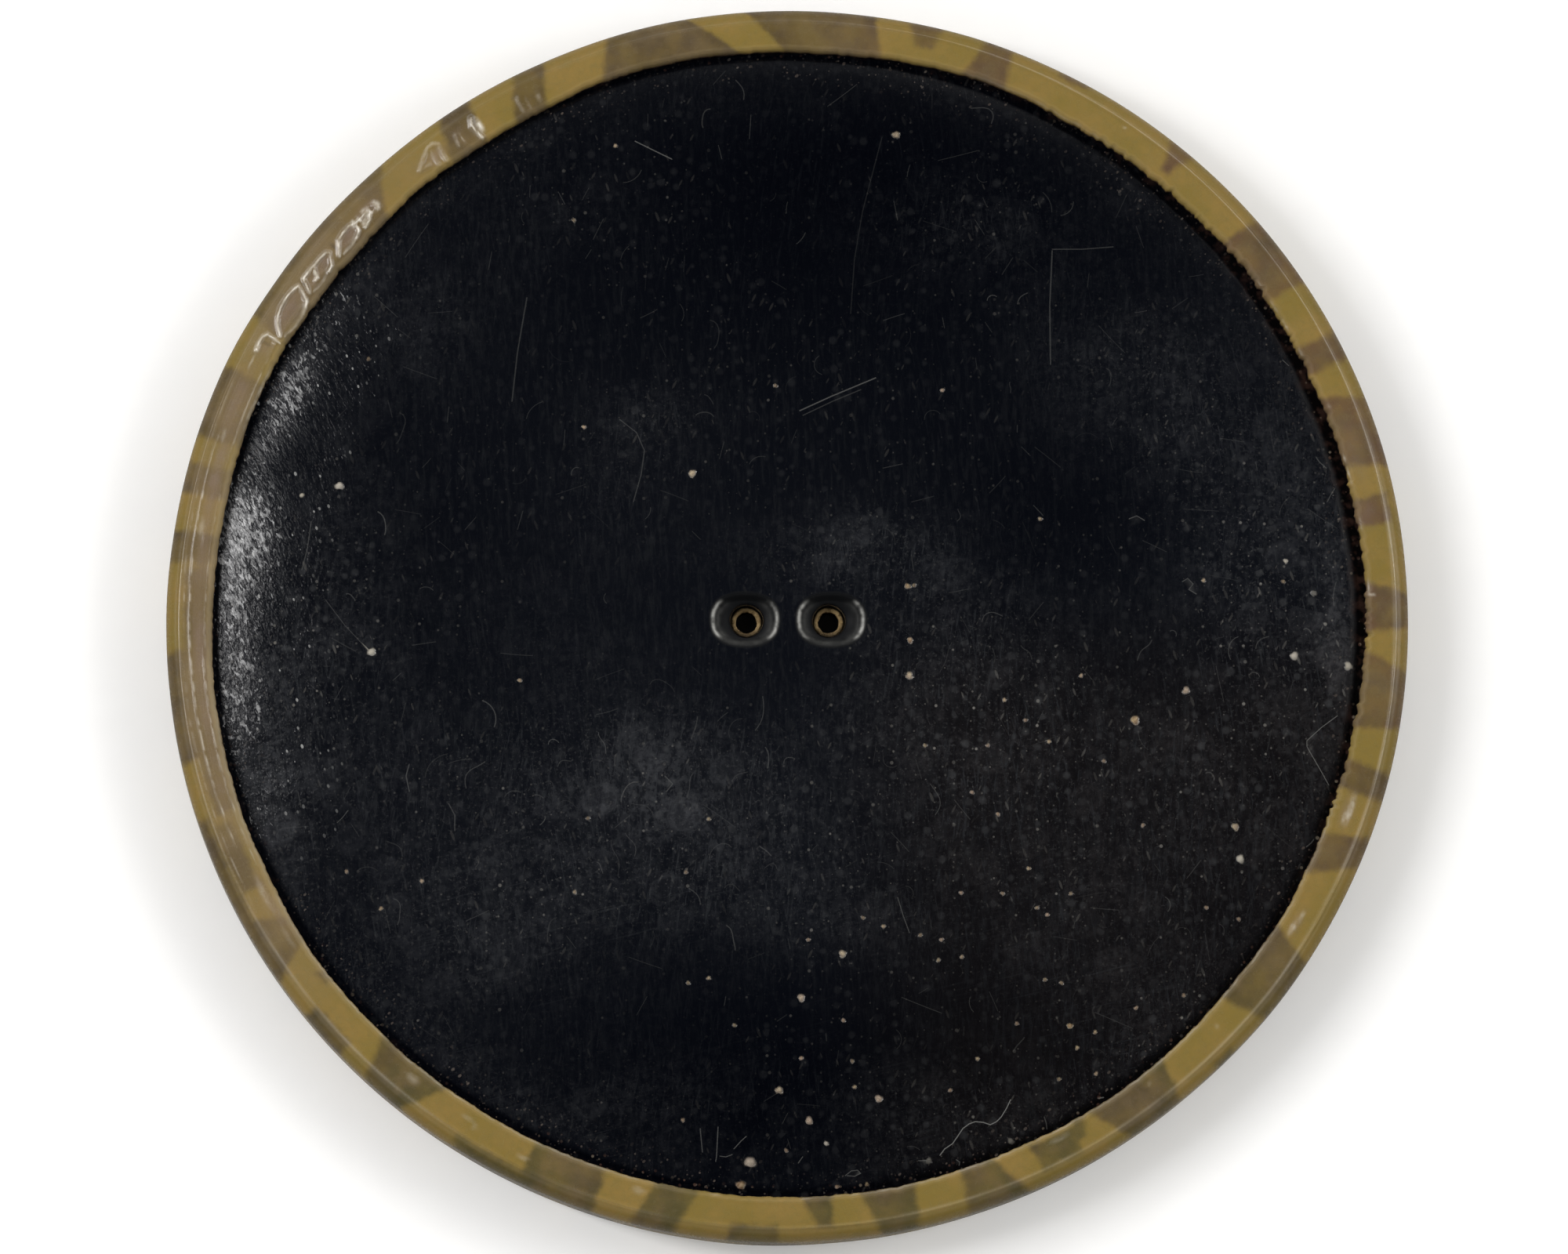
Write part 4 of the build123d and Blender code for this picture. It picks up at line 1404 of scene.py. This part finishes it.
class Graph:
    """Fills a node tree."""

    def __init__(self, tree):
        self.tree = tree
        tree.nodes.clear()

    def put(self, socket, value):
        if isinstance(value, Signal):
            self.tree.links.new(value.socket, socket)
        elif socket.type == "RGBA":
            socket.default_value = (*value, 1.0)
        else:
            socket.default_value = value

    def node(self, kind, inputs, **settings):
        node = self.tree.nodes.new("ShaderNode" + kind)
        for key, value in settings.items():
            setattr(node, key, value)
        for key, value in inputs.items():
            self.put(node.inputs[key], value)
        return node

    def make(self, kind, output=0, inputs={}, **settings):
        return Signal(self, self.node(kind, inputs, **settings).outputs[output])

    def position(self):
        """Object coordinates in millimetres."""
        place = self.make("TexCoord", "Object")
        return self.make("VectorMath", 0, {0: place, "Scale": 1000.0}, operation="SCALE")

    def mapping(self, vector, turn=0, scale=(1, 1, 1), shift=(0, 0, 0)):
        """Turns the coordinates so that x runs along `turn` degrees, then stretches them."""
        if turn:
            rotation = [-math.radians(a) for a in (0, 0, turn)]
            vector = self.make("Mapping", 0, {"Vector": vector, "Rotation": rotation})
        return self.make("Mapping", 0, {"Vector": vector, "Scale": scale, "Location": shift})

    def attr(self, name, output="Fac"):
        return self.make("Attribute", output, attribute_name=name)

    def noise(self, vector, scale, detail=2.0, rough=0.5, distort=0.0):
        return self.make("TexNoise", "Fac", {
            "Vector": vector, "Scale": scale, "Detail": detail, "Roughness": rough,
            "Distortion": distort,
        })

    def voronoi(self, vector, scale):
        """Distance to the nearest cell centre, and the cell's random colour."""
        inputs = {"Vector": vector, "Scale": scale}
        outputs = self.node("TexVoronoi", inputs, voronoi_dimensions="2D").outputs
        return Signal(self, outputs["Distance"]), Signal(self, outputs["Color"])

    def math(self, operation, a, b=0.0):
        return self.make("Math", 0, {0: a, 1: b}, operation=operation)

    def ramp(self, value, start, end, low=0.0, high=1.0, kind="SMOOTHSTEP"):
        """Goes from low to high as the value goes from start to end."""
        return self.make("MapRange", "Result", {
            "Value": value, "From Min": start, "From Max": end, "To Min": low, "To Max": high,
        }, interpolation_type=kind)

    def mix(self, factor, a, b):
        """Blends two colours."""
        return self.make("Mix", 2, {"Factor": factor, 6: a, 7: b}, data_type="RGBA")

    def lerp(self, factor, a, b):
        """Blends two numbers."""
        return self.make("Mix", 0, {0: factor, 2: a, 3: b}, data_type="FLOAT")

    def bump(self, height, strength, distance):
        """Distance in metres."""
        return self.make("Bump", 0, {
            "Height": height, "Strength": strength, "Distance": distance,
        })

    def split(self, vector):
        outputs = self.node("SeparateXYZ", {0: vector}).outputs
        return [Signal(self, output) for output in outputs]

    def join(self, x, y):
        return self.make("CombineXYZ", 0, {0: x, 1: y, 2: 0.0})


class MaterialGraph(Graph):
    def __init__(self, name):
        self.material = bpy.data.materials.new(name)
        self.material.use_nodes = True
        super().__init__(self.material.node_tree)

    def finish(self, inputs):
        shader = self.make("BsdfPrincipled", 0, inputs)
        self.node("OutputMaterial", {0: shader})
        return self.material


def brushed(g, pos, turn, sx, sy, low, high, seed, gate_low, gate_high):
    """Fine parallel strokes along `turn` degrees, gathered in patches."""
    grain = g.noise(
        g.mapping(pos, turn, (sx, sy, 1), (seed, seed * 0.7, 0)), scale=1.0, detail=4.0, rough=0.65
    )
    line = g.ramp(grain, low, high)
    patches = g.noise(g.mapping(pos, shift=(seed * 3, 0, 0)), scale=0.16, detail=3.0)
    return line * g.ramp(patches, gate_low, gate_high)


def dots(g, pos, scale, size, share, seed, stretch=(1, 1, 1), turn=0, soft=0.05):
    """Scattered spots of up to `size` cells, in this share of the cells."""
    distance, color = g.voronoi(g.mapping(pos, turn, stretch, (seed, seed * 1.3, 0)), scale)
    random = g.split(color)
    spot = g.ramp(distance - random[1] * size, soft, 0.0)
    chosen = g.math("GREATER_THAN", random[0], 1.0 - share)
    return spot * (chosen * g.ramp(random[2], 0, 1, 0.15, 1.0, kind="LINEAR"))


def face_material():
    g = MaterialGraph("worn_black_plastic")
    pos = g.position()
    x, y, _ = g.split(pos)
    rad = g.math("SQRT", x * x + y * y)
    haze, speck, warm = g.attr("haze"), g.attr("speck"), g.attr("warm")
    marks_and_painted_well_highlights, rub, grime_and_crevice_shade = g.attr("marks_and_painted_well_highlights"), g.attr("rub"), g.attr("grime_and_crevice_shade")
    base, well, gloss_and_painted_sheen = g.attr("base"), g.attr("well"), g.attr("gloss_and_painted_sheen")
    fine = g.noise(pos, scale=2.1, detail=6.0, rough=0.74, distort=0.3)

    # smudges: clouds of fine clumps, dried drops and steep wisps
    cloud = g.noise(pos, scale=0.24, detail=6.0, rough=0.66, distort=0.5)
    clumps = g.ramp(fine, 0.43, 0.62)
    distance, color = g.voronoi(g.mapping(pos, 30, (0.8, 1.0, 1.0)), 0.42)
    ring = distance + (fine - 0.5) * 0.55
    drops = g.ramp(ring, 0.34, 0.28) * (g.ramp(ring, 0.20, 0.31, 0.0, 0.55) + 0.35)
    drops = drops * g.math("GREATER_THAN", g.split(color)[0], 0.62)
    smudge = g.ramp(cloud, 0.34, 0.64, 0.12, 1.0) * (clumps * 0.62 + 0.16)
    wisp = g.noise(
        g.mapping(pos, 87, (0.75, 3.1, 1.0), (5, 2, 0)),
        scale=1.0, detail=3.0, rough=0.6, distort=0.3,
    )
    wisp = g.ramp(wisp, 0.52, 0.63) * g.ramp(g.noise(pos, scale=0.35), 0.40, 0.60)
    smudge = (smudge + wisp * 0.34 + drops * 0.55) * haze

    # hair-fine rub marks; the shallow ones only towards -Y
    rubs = (
        brushed(g, pos, 82, 0.75, 6.0, 0.55, 0.68, 3.1, 0.40, 0.58)
        + brushed(g, pos, 100, 0.60, 7.0, 0.56, 0.69, 9.7, 0.40, 0.58)
    )
    shallow = brushed(g, pos, 14, 0.16, 8.0, 0.55, 0.72, 15.3, 0.40, 0.60)
    rubs = rubs + shallow * g.ramp(y, -8.0, -16.0)
    rubs = (rubs + brushed(g, pos, -40, 0.9, 8.0, 0.60, 0.76, 22.9, 0.46, 0.64)).clamped()

    # settled dust and lint: round dots and short crumbs
    gate = g.ramp(g.noise(pos, scale=0.11, detail=3.0), 0.36, 0.64, 0.22, 1.0)
    hazy = g.ramp(haze, 0.05, 0.6, 0.32, 1.0)
    dust = dots(g, pos, 0.95, size=0.060, share=0.24, seed=4.0) * 0.85
    dust = dust + dots(g, pos, 2.1, size=0.085, share=0.42, seed=31.0, soft=0.07) * 0.42
    for seed, turn in ((17.0, 63), (53.0, -70)):
        scale = 1.5 if turn == 63 else 1.3
        dust = dust + dots(g, pos, scale, 0.10, 0.30, seed, (0.35, 1.3, 1), turn) * 0.30
    dust = dust.clamped() * (gate * hazy)

    # bare plastic, bluer away from the lower right
    cool = g.ramp(x, 0.0, 10.0) * g.ramp(y, 3.0, -6.0)
    black = g.mix(cool, (0.0006, 0.0009, 0.0022), (0.0014, 0.0012, 0.0015))
    black = g.mix(base, black, g.mix(cool, (0.0030, 0.0036, 0.0056), (0.0042, 0.0037, 0.0042)))
    # its own grain, very faint, runs along Y
    sheet = g.noise(g.mapping(pos, 92, (0.8, 4.6, 1.0)), scale=1.0, detail=3.0, rough=0.6)
    sheet = g.ramp(sheet, 0.46, 0.70) * g.ramp(base, 0, 1, 0.06, 0.40)
    black = g.mix(sheet, black, (0.011, 0.012, 0.0135))
    # smudges, rub marks, fine speckle and dust over it
    grey = g.mix(cool, (0.0330, 0.0345, 0.0385), (0.0340, 0.0318, 0.0325))
    col = g.mix((smudge * 0.95).clamped(), black, grey)
    col = g.mix(rubs * g.ramp(haze, 0.0, 0.6, 0.08, 0.55), col, (0.026, 0.028, 0.031))
    grain = g.noise(pos, scale=5.5, detail=3.0, rough=0.7)
    speckle = g.ramp(grain, 0.54, 0.70) * g.ramp(haze, 0.0, 0.6, 0.02, 0.26)
    col = g.mix(speckle, col, (0.075, 0.076, 0.076))
    col = g.mix(dust * 0.72, col, (0.20, 0.19, 0.17))
    blot = dots(g, pos, 1.35, size=0.16, share=0.55, seed=141.0, soft=0.24) * (gate * hazy)
    col = g.mix(blot * 0.30, col, (0.070, 0.072, 0.075))
    # crumbs near the lip
    crumbs = (
        dots(g, pos, 1.7, size=0.12, share=0.5, seed=88.0, stretch=(0.8, 1.2, 1), turn=40)
        + dots(g, pos, 3.0, size=0.14, share=0.5, seed=93.0) * 0.8
    ).clamped()
    crumbs = crumbs * (
        g.ramp(rad, 27.2, 28.9) * g.ramp(g.noise(pos, scale=0.45), 0.36, 0.62, 0.1, 0.8)
    )
    crumb_col = g.mix(
        g.noise(pos, scale=3.0, detail=1.0), (0.105, 0.072, 0.055), (0.10, 0.098, 0.09)
    )
    col = g.mix(crumbs, col, crumb_col)
    col = g.mix(well * 0.85, col, (0.0070, 0.0074, 0.0080))
    # pale scratches and hairs, and the painted highlights on the well mouths
    col = g.mix(marks_and_painted_well_highlights, col, (0.36, 0.36, 0.34))

    # painted highlights: pale short slanting strokes stand in for the crinkles of the left margin
    # catching the light, and they also raise its shine
    dense = gloss_and_painted_sheen - 0.62

    def slant(turn, scale, shift, start, end):
        stroke = g.noise(
            g.mapping(pos, turn, scale, shift), scale=1.0, detail=2.5, rough=0.66, distort=0.35
        )
        return g.ramp(stroke + dense * 0.19, start, end)

    painted_glint_strokes = g.math(
        "MAXIMUM",
        slant(117, (2.1, 4.6, 1.0), (3, 1, 0), 0.550, 0.622),
        slant(101, (2.6, 4.9, 1.0), (9, 4, 0), 0.572, 0.645) * 0.8,
    )
    tip = g.ramp(g.noise(pos, scale=2.6), 0.35, 0.65, 0.35, 1.0)
    painted_glint_strokes = painted_glint_strokes * (tip * g.ramp(gloss_and_painted_sheen, 0.04, 0.40))
    # a painted sheen: grey laid where the margin is glossy, then the pale painted strokes over it
    col = g.mix(g.ramp(gloss_and_painted_sheen, 0.1, 1.0) * 0.5, col, (0.024, 0.024, 0.026))
    col = g.mix(painted_glint_strokes * 0.66, col, (0.36, 0.362, 0.365))
    # painted sparkles: pale dots in the crinkled margin
    painted_sparkles = dots(g, pos, 1.7, size=0.12, share=0.34, seed=71.0, stretch=(0.75, 1.2, 1), turn=110)
    painted_sparkles = painted_sparkles * g.ramp(rub, 0.2, 1.0)
    col = g.mix(painted_sparkles * 0.8, col, (0.36, 0.36, 0.35))

    # grime and painted shade in the crevice, with crumbs most of all on the lower right
    edge_col = g.mix(
        g.ramp(g.noise(pos, scale=1.6, detail=3.0), 0.46, 0.66),
        (0.0022, 0.0018, 0.0018), (0.024, 0.0125, 0.0095),
    )
    lower_right = g.ramp(x / rad - y / rad, -0.2, 0.8, 0.25, 1.0)
    foot = dots(g, pos, 2.7, size=0.20, share=0.55, seed=121.0, soft=0.10)
    foot = foot * (g.ramp(rad, 28.75, 29.15) * lower_right)
    foot = foot * g.ramp(g.noise(pos, scale=0.9), 0.40, 0.58, 0.15, 1.0)
    foot_col = g.mix(
        g.ramp(g.noise(pos, scale=2.2), 0.45, 0.60), (0.100, 0.052, 0.038), (0.21, 0.175, 0.130)
    )
    col = g.mix(grime_and_crevice_shade, col, edge_col)
    col = g.mix(foot * 0.75, col, foot_col)

    # what fills the specks: from pale grey to tan
    tan = g.mix(
        g.ramp(g.noise(pos, scale=0.6, detail=1.0), 0.42, 0.58),
        (0.36, 0.275, 0.150), (0.35, 0.240, 0.160),
    )
    tan = g.mix(g.ramp(g.noise(pos, scale=7.0), 0.40, 0.66), tan, (0.20, 0.125, 0.065))
    col = g.mix(speck, col, g.mix(warm, (0.47, 0.455, 0.40), tan))

    rough = g.lerp((smudge * 1.0).clamped(), 0.13, 0.17)
    rough = g.lerp(rub, rough, g.ramp(fine, 0.3, 0.7, 0.16, 0.26, kind="LINEAR"))
    rough = g.lerp(well, rough, 0.36)
    rough = g.lerp(grime_and_crevice_shade, rough, 0.8)
    rough = g.lerp(g.math("MAXIMUM", speck, g.math("MAXIMUM", marks_and_painted_well_highlights, dust)), rough, 0.9)

    # relief: faint orange peel everywhere, a crinkled margin on the left
    crinkle = g.noise(
        g.mapping(pos, 114, (2.2, 4.4, 1.0)), scale=1.0, rough=0.58, distort=0.3
    )
    pits, _ = g.voronoi(g.mapping(pos, 114, (0.62, 1.0, 1.0)), 4.6)
    height = crinkle * g.ramp(rub, 0, 1, 0.01, 0.85, kind="LINEAR")
    height = height + g.ramp(pits, 0.0, 0.34) * (rub * 0.12)
    height = height + g.noise(pos, scale=2.4, rough=0.6) * 0.03 + rubs * -0.015

    # matt in the crevice and the wells; the worn margin keeps its polish only in places
    shine = g.lerp(
        rub, g.ramp(rad, 20.0, 27.5, 0.5, 0.24), (gloss_and_painted_sheen * 0.42 + 0.04) * (painted_glint_strokes * 0.55 + 0.60)
    )
    shine = shine * (1.0 - well * 0.93) * (1.0 - grime_and_crevice_shade * 0.95)
    shine = shine * g.ramp(rad, 29.02, 29.24, 1.0, 0.12)
    return g.finish({
        "Base Color": col,
        "Roughness": rough,
        "Normal": g.bump(height, strength=1.0, distance=0.000055),
        "Specular IOR Level": shine,
        "IOR": 1.50,
    })


def shell_material():
    g = MaterialGraph("mottled_celluloid")
    pos = g.position()
    mottle, wall_share, rub_and_painted_sheen = g.attr("mottle"), g.attr("proc"), g.attr("rub_and_painted_sheen")
    along, across, zone = g.split(g.attr("lipco", "Vector"))
    clouds = g.noise(pos, scale=0.35, detail=3.0, rough=0.6)
    mottling = g.noise(pos, scale=3.2, detail=3.0, rough=0.65)

    # brown patches: placed on the lip, free on the wall and back
    big = g.noise(pos, scale=0.21, distort=0.9)
    field = g.lerp(wall_share, mottle, (big - 0.53) * 9.0)
    field = field + (g.noise(pos, scale=1.5, detail=3.0, rough=0.55) - 0.5) * 0.50
    brown = g.ramp(field, -0.21, 0.25)
    # patches are not equally dark inside
    brown = brown * g.ramp(g.noise(pos, scale=0.55, detail=3.0, rough=0.6), 0.30, 0.70, 0.62, 1.0)
    # the patches are washed out under the painted sheen on the left
    brown = brown * (1.0 - g.attr("rub_and_painted_sheen") * 0.30)

    honey = g.mix(g.ramp(clouds, 0.35, 0.65), (0.222, 0.157, 0.0385), (0.262, 0.174, 0.050))
    honey = g.mix(g.ramp(mottling, 0.3, 0.8, 0.0, 0.5), honey, (0.182, 0.138, 0.0405))
    bark = g.mix(g.ramp(clouds, 0.35, 0.65), (0.082, 0.0575, 0.0265), (0.105, 0.076, 0.0415))
    bark = g.mix(g.ramp(mottling, 0.35, 0.8, 0.0, 0.6), bark, (0.100, 0.071, 0.041))
    # ruddier to the upper right, more olive towards -Y
    x, y, _ = g.split(pos)
    ruddy = g.ramp(x, -6.0, 22.0) * g.ramp(y, -20.0, 2.0)
    ruddy = ruddy * g.ramp(g.noise(pos, scale=0.42), 0.38, 0.58, 0.25, 1.0)
    bark = g.mix(ruddy, bark, (0.118, 0.0700, 0.0400))
    olive = g.ramp(y, -14.0, -26.0) * g.ramp(g.noise(pos, scale=0.30), 0.38, 0.56, 0.2, 1.0)
    bark = g.mix(olive, bark, (0.086, 0.0715, 0.0280))
    # each patch is deepest just inside its border and clouded in the middle
    middle = g.ramp(g.noise(pos, scale=0.9, detail=3.0, rough=0.6), 0.35, 0.65, 0.1, 0.75)
    bark = g.mix(g.ramp(field, 0.35, 1.1) * middle, bark, (0.128, 0.093, 0.050))
    col = g.mix(brown, honey, bark)

    # faint clouding drawn out along the rim where the veil lies, then the pale veil, which is a
    # painted sheen, and the pink
    streak = g.noise(g.join(along * 0.22, across * 6.0), scale=1.0, detail=3.0, rough=0.6)
    outside = g.math("LESS_THAN", zone, 5.5)
    streak = g.ramp(streak, 0.55, 0.8, 0.0, 0.30) * (rub_and_painted_sheen * outside)
    col = g.mix(streak, col, (0.34, 0.26, 0.15))
    col = g.mix(rub_and_painted_sheen * 0.42, col, (0.225, 0.168, 0.108))
    pink = g.attr("pink") * g.ramp(
        g.noise(pos, scale=1.1, detail=3.0, rough=0.6), 0.30, 0.62, 0.45, 1.0
    )
    col = g.mix(pink * 0.70, col, (0.245, 0.178, 0.138))
    corner = g.ramp(zone, 2.4, 3.0) * g.ramp(zone, 4.0, 3.5)
    # painted shade: the rounded outer corner is darkened a little
    col = g.mix(corner * 0.08, col, (0.030, 0.022, 0.008))
    # painted shade in the dark feet and slots; painted highlights on the pale crests, glints,
    # crease and bare edge, with near-white tips
    painted_lip_shading = g.attr("painted_lip_shading")
    col = g.mix((painted_lip_shading * -0.75).clamped(), col, (0.060, 0.042, 0.026))
    col = g.mix((painted_lip_shading * 0.95).clamped(), col, (0.68, 0.63, 0.53))
    col = g.mix(g.ramp(painted_lip_shading, 0.70, 1.0, 0.0, 0.45), col, (0.92, 0.89, 0.86))
    # raw cut edge of the sheet, paler, and paler still under the painted sheen, with painted shade
    # at its foot
    cut = g.ramp(across - 1.62, 0.0, 0.10) * g.ramp(across - 2.42, 0.10, -0.10)
    cut = cut * outside
    col = g.mix(cut * (rub_and_painted_sheen * 0.40 + 0.08), col, (0.33, 0.26, 0.15))
    col = g.mix(g.ramp(across, 2.08, 1.72) * outside, col, (0.035, 0.020, 0.012))

    # scuffs on the lip, scratches and a drawn grain
    scuff = g.noise(g.join(along * 0.9, across * 9.0), scale=1.0, detail=3.0, rough=0.65)
    scuff = g.ramp(scuff, 0.62, 0.74) * (rub_and_painted_sheen * outside)
    rough = g.lerp(g.ramp(mottling, 0.2, 0.8, 0.0, 1.0, kind="LINEAR"), 0.20, 0.32)
    rough = g.lerp(cut, rough + scuff * 0.18, 0.6)
    scratch = g.noise(g.mapping(pos, 35, (0.25, 6.0, 1.0)), scale=1.0, detail=3.0, rough=0.6)
    height = mottling * 0.5 + g.noise(pos, scale=9.0) * 0.22 + scuff * -0.35
    height = height + g.ramp(scratch, 0.62, 0.76) * -0.18
    grain = g.noise(g.join(along * 0.30, across * 7.0), scale=1.0)
    height = height + grain * (rub_and_painted_sheen * 1.3 + 0.05)
    return g.finish({
        "Base Color": col,
        "Roughness": rough,
        "Normal": g.bump(height, strength=0.35, distance=0.00004),
        "Specular IOR Level": (0.5 - (corner * 0.32 + cut * 0.36)).clamped(),
        "IOR": 1.50,
        "Subsurface Weight": 0.10,
        "Subsurface Radius": (1.0, 0.7, 0.3),
        "Subsurface Scale": 0.0006,
    })


def core_material():
    g = MaterialGraph("pressed_fibre")
    pos = g.position()
    coarse = g.noise(g.mapping(pos, scale=(1, 1, 4)), scale=1.8, detail=4.0, rough=0.65)
    fine = g.noise(pos, scale=8.0, detail=3.0, rough=0.6)
    col = g.mix(g.ramp(coarse, 0.3, 0.7), (0.30, 0.20, 0.095), (0.46, 0.33, 0.17))
    col = g.mix(g.ramp(fine, 0.55, 0.8, 0.0, 0.7), col, (0.17, 0.10, 0.045))
    # painted light and shade: bright on the collar as painted light, darker towards -Y as painted
    # shade, and dark from its foot upwards as painted shade in the bore
    ledge = g.ramp(g.split(pos)[2], 3.00, 3.24)
    bright = g.mix(g.ramp(coarse, 0.3, 0.7), (0.22, 0.145, 0.060), (0.42, 0.300, 0.140))
    painted_shade_to_minus_y = g.ramp(g.split(pos)[1], -0.1, -0.75, 0.0, 0.8)
    bright = g.mix(painted_shade_to_minus_y, bright, (0.065, 0.042, 0.020))
    painted_bore_shade = g.mix(g.ramp(g.split(pos)[2], 3.1, 2.3), col, (0.030, 0.018, 0.010))
    return g.finish({
        "Base Color": g.mix(ledge, painted_bore_shade, bright),
        "Roughness": g.ramp(fine, 0.3, 0.7, 0.82, 0.97, kind="LINEAR"),
        "Normal": g.bump(coarse * 0.7 + fine * 0.5, strength=0.8, distance=0.00008),
    })


# ================================================================ pieces
face = build_face(face_material())
shell = build_shell(shell_material())
core = build_core(core_material())
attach(face, "root")
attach(shell, "root")
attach(core, "root")
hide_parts("black_face")
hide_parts("mottled_shell")
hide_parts("core_disc")


# ================================================================ studio, in metres
def floor_material():
    g = MaterialGraph("pale_floor")
    pos = g.position()
    shade = g.ramp(g.noise(pos, scale=0.9, detail=3.0), 0.3, 0.7)
    col = g.mix(shade, (0.93, 0.93, 0.925), (0.945, 0.945, 0.94))
    # the floor is darker to everything but the camera
    to_camera = g.make("LightPath", "Is Camera Ray")
    col = g.mix(to_camera, (0.52, 0.52, 0.52), col)
    # a touch of fill on the open floor only, never under the button
    x, y, _ = g.split(pos)
    fill = g.ramp(g.math("SQRT", x * x + y * y), 28.0, 31.5) * 0.12
    return g.finish({
        "Base Color": col,
        "Roughness": 0.85,
        "Emission Color": (1.0, 1.0, 0.995),
        "Emission Strength": to_camera * fill,
        "Specular IOR Level": 0.2,
    })


def floor():
    radii, columns = [0.05, 0.15, 0.5, 1.5, 4.0], 96
    z = -0.00002
    points = [(0, 0, z)]
    for r in radii:
        for k in range(columns):
            angle = TAU * k / columns
            points.append((r * math.cos(angle), r * math.sin(angle), z))
    faces = [(0, 1 + k, 1 + (k + 1) % columns) for k in range(columns)]
    for i in range(len(radii) - 1):
        for k in range(columns):
            a = 1 + i * columns + k
            b = 1 + i * columns + (k + 1) % columns
            faces.append((a, a + columns, b + columns, b))
    me = bpy.data.meshes.new("studio_floor")
    me.from_pydata(points, [], faces)
    me.materials.append(floor_material())
    link("studio_floor", me)


def window(name, direction, distance, width, height, radiance, color):
    """A rectangular light that faces the origin."""
    toward = Vector(direction).normalized()
    light = bpy.data.lights.new(name, "AREA")
    light.shape = "RECTANGLE"
    light.size, light.size_y = width, height
    light.energy = radiance * math.pi * width * height
    light.color = color
    ob = link(name, light)
    ob.location = toward * distance
    ob.rotation_euler = (-toward).to_track_quat("-Z", "Y").to_euler()


# strength of the sky: overhead, low down all round, and added towards +-X and +Y
WORLD_TOP, WORLD_BASE, WORLD_SIDE, WORLD_BACK = 0.022, 0.90, 3.3, 2.2


def world():
    sky = bpy.data.worlds.new("studio")
    bpy.context.scene.world = sky
    sky.use_nodes = True
    g = Graph(sky.node_tree)
    x, y, z = g.split(g.make("TexCoord", "Generated"))
    # dark overhead, bright in a ring lower down, faint at the horizon
    low_sky = g.ramp(z, 0.77, 0.64) * (g.ramp(z, 0.40, 0.56) * 0.945 + 0.055)
    amount = x * x * WORLD_SIDE + g.ramp(y, 0.10, 0.80) * WORLD_BACK + WORLD_BASE
    amount = amount * low_sky
    # bluer overhead
    tint = g.mix(g.ramp(z, 0.90, 0.70), (0.58, 0.70, 1.0), (1.0, 0.99, 0.975))
    lit = g.make("Background", 0, {0: tint, 1: amount + WORLD_TOP})
    seen = g.make("Background", 0, {0: (0.93, 0.93, 0.925), 1: 1.0})
    to_camera = g.make("LightPath", "Is Camera Ray")
    g.node("OutputWorld", {0: g.make("MixShader", 0, {0: to_camera, 1: lit, 2: seen})})


def camera():
    """Looks almost straight down, a little from the -Y side, with +Y up."""
    data = bpy.data.cameras.new("camera")
    cam = link("camera", data)
    tilt, azimuth, distance = math.radians(6.8), math.radians(-100.0), 0.900
    outward = Vector((
        math.sin(tilt) * math.cos(azimuth), math.sin(tilt) * math.sin(azimuth), math.cos(tilt)
    ))
    aim = Vector((-0.15023, -0.07751, 2.0)) * MM
    cam.location = aim + outward * distance
    forward = -outward
    up = Vector((0, 1, 0))
    up = (up - up.dot(forward) * forward).normalized()
    right = forward.cross(up)
    cam.rotation_euler = Matrix((right, up, -forward)).transposed().to_euler()
    data.sensor_width = 36.0
    data.lens = 403.50
    data.clip_start, data.clip_end = 0.01, 20.0
    bpy.context.scene.camera = cam


floor()
world()
window("window_left", direction=(-0.68, 0.15, 0.70), distance=0.55, width=0.100, height=0.280,
       radiance=12.0, color=(1.0, 0.985, 0.985))
window("window_right", direction=(0.84, 0.12, 0.53), distance=0.60, width=0.180, height=0.300,
       radiance=4.0, color=(1.0, 0.985, 0.96))
camera()

view = bpy.context.scene.view_settings
view.view_transform = "Standard"
view.look = "None"
view.exposure = 0.0
view.gamma = 1.0
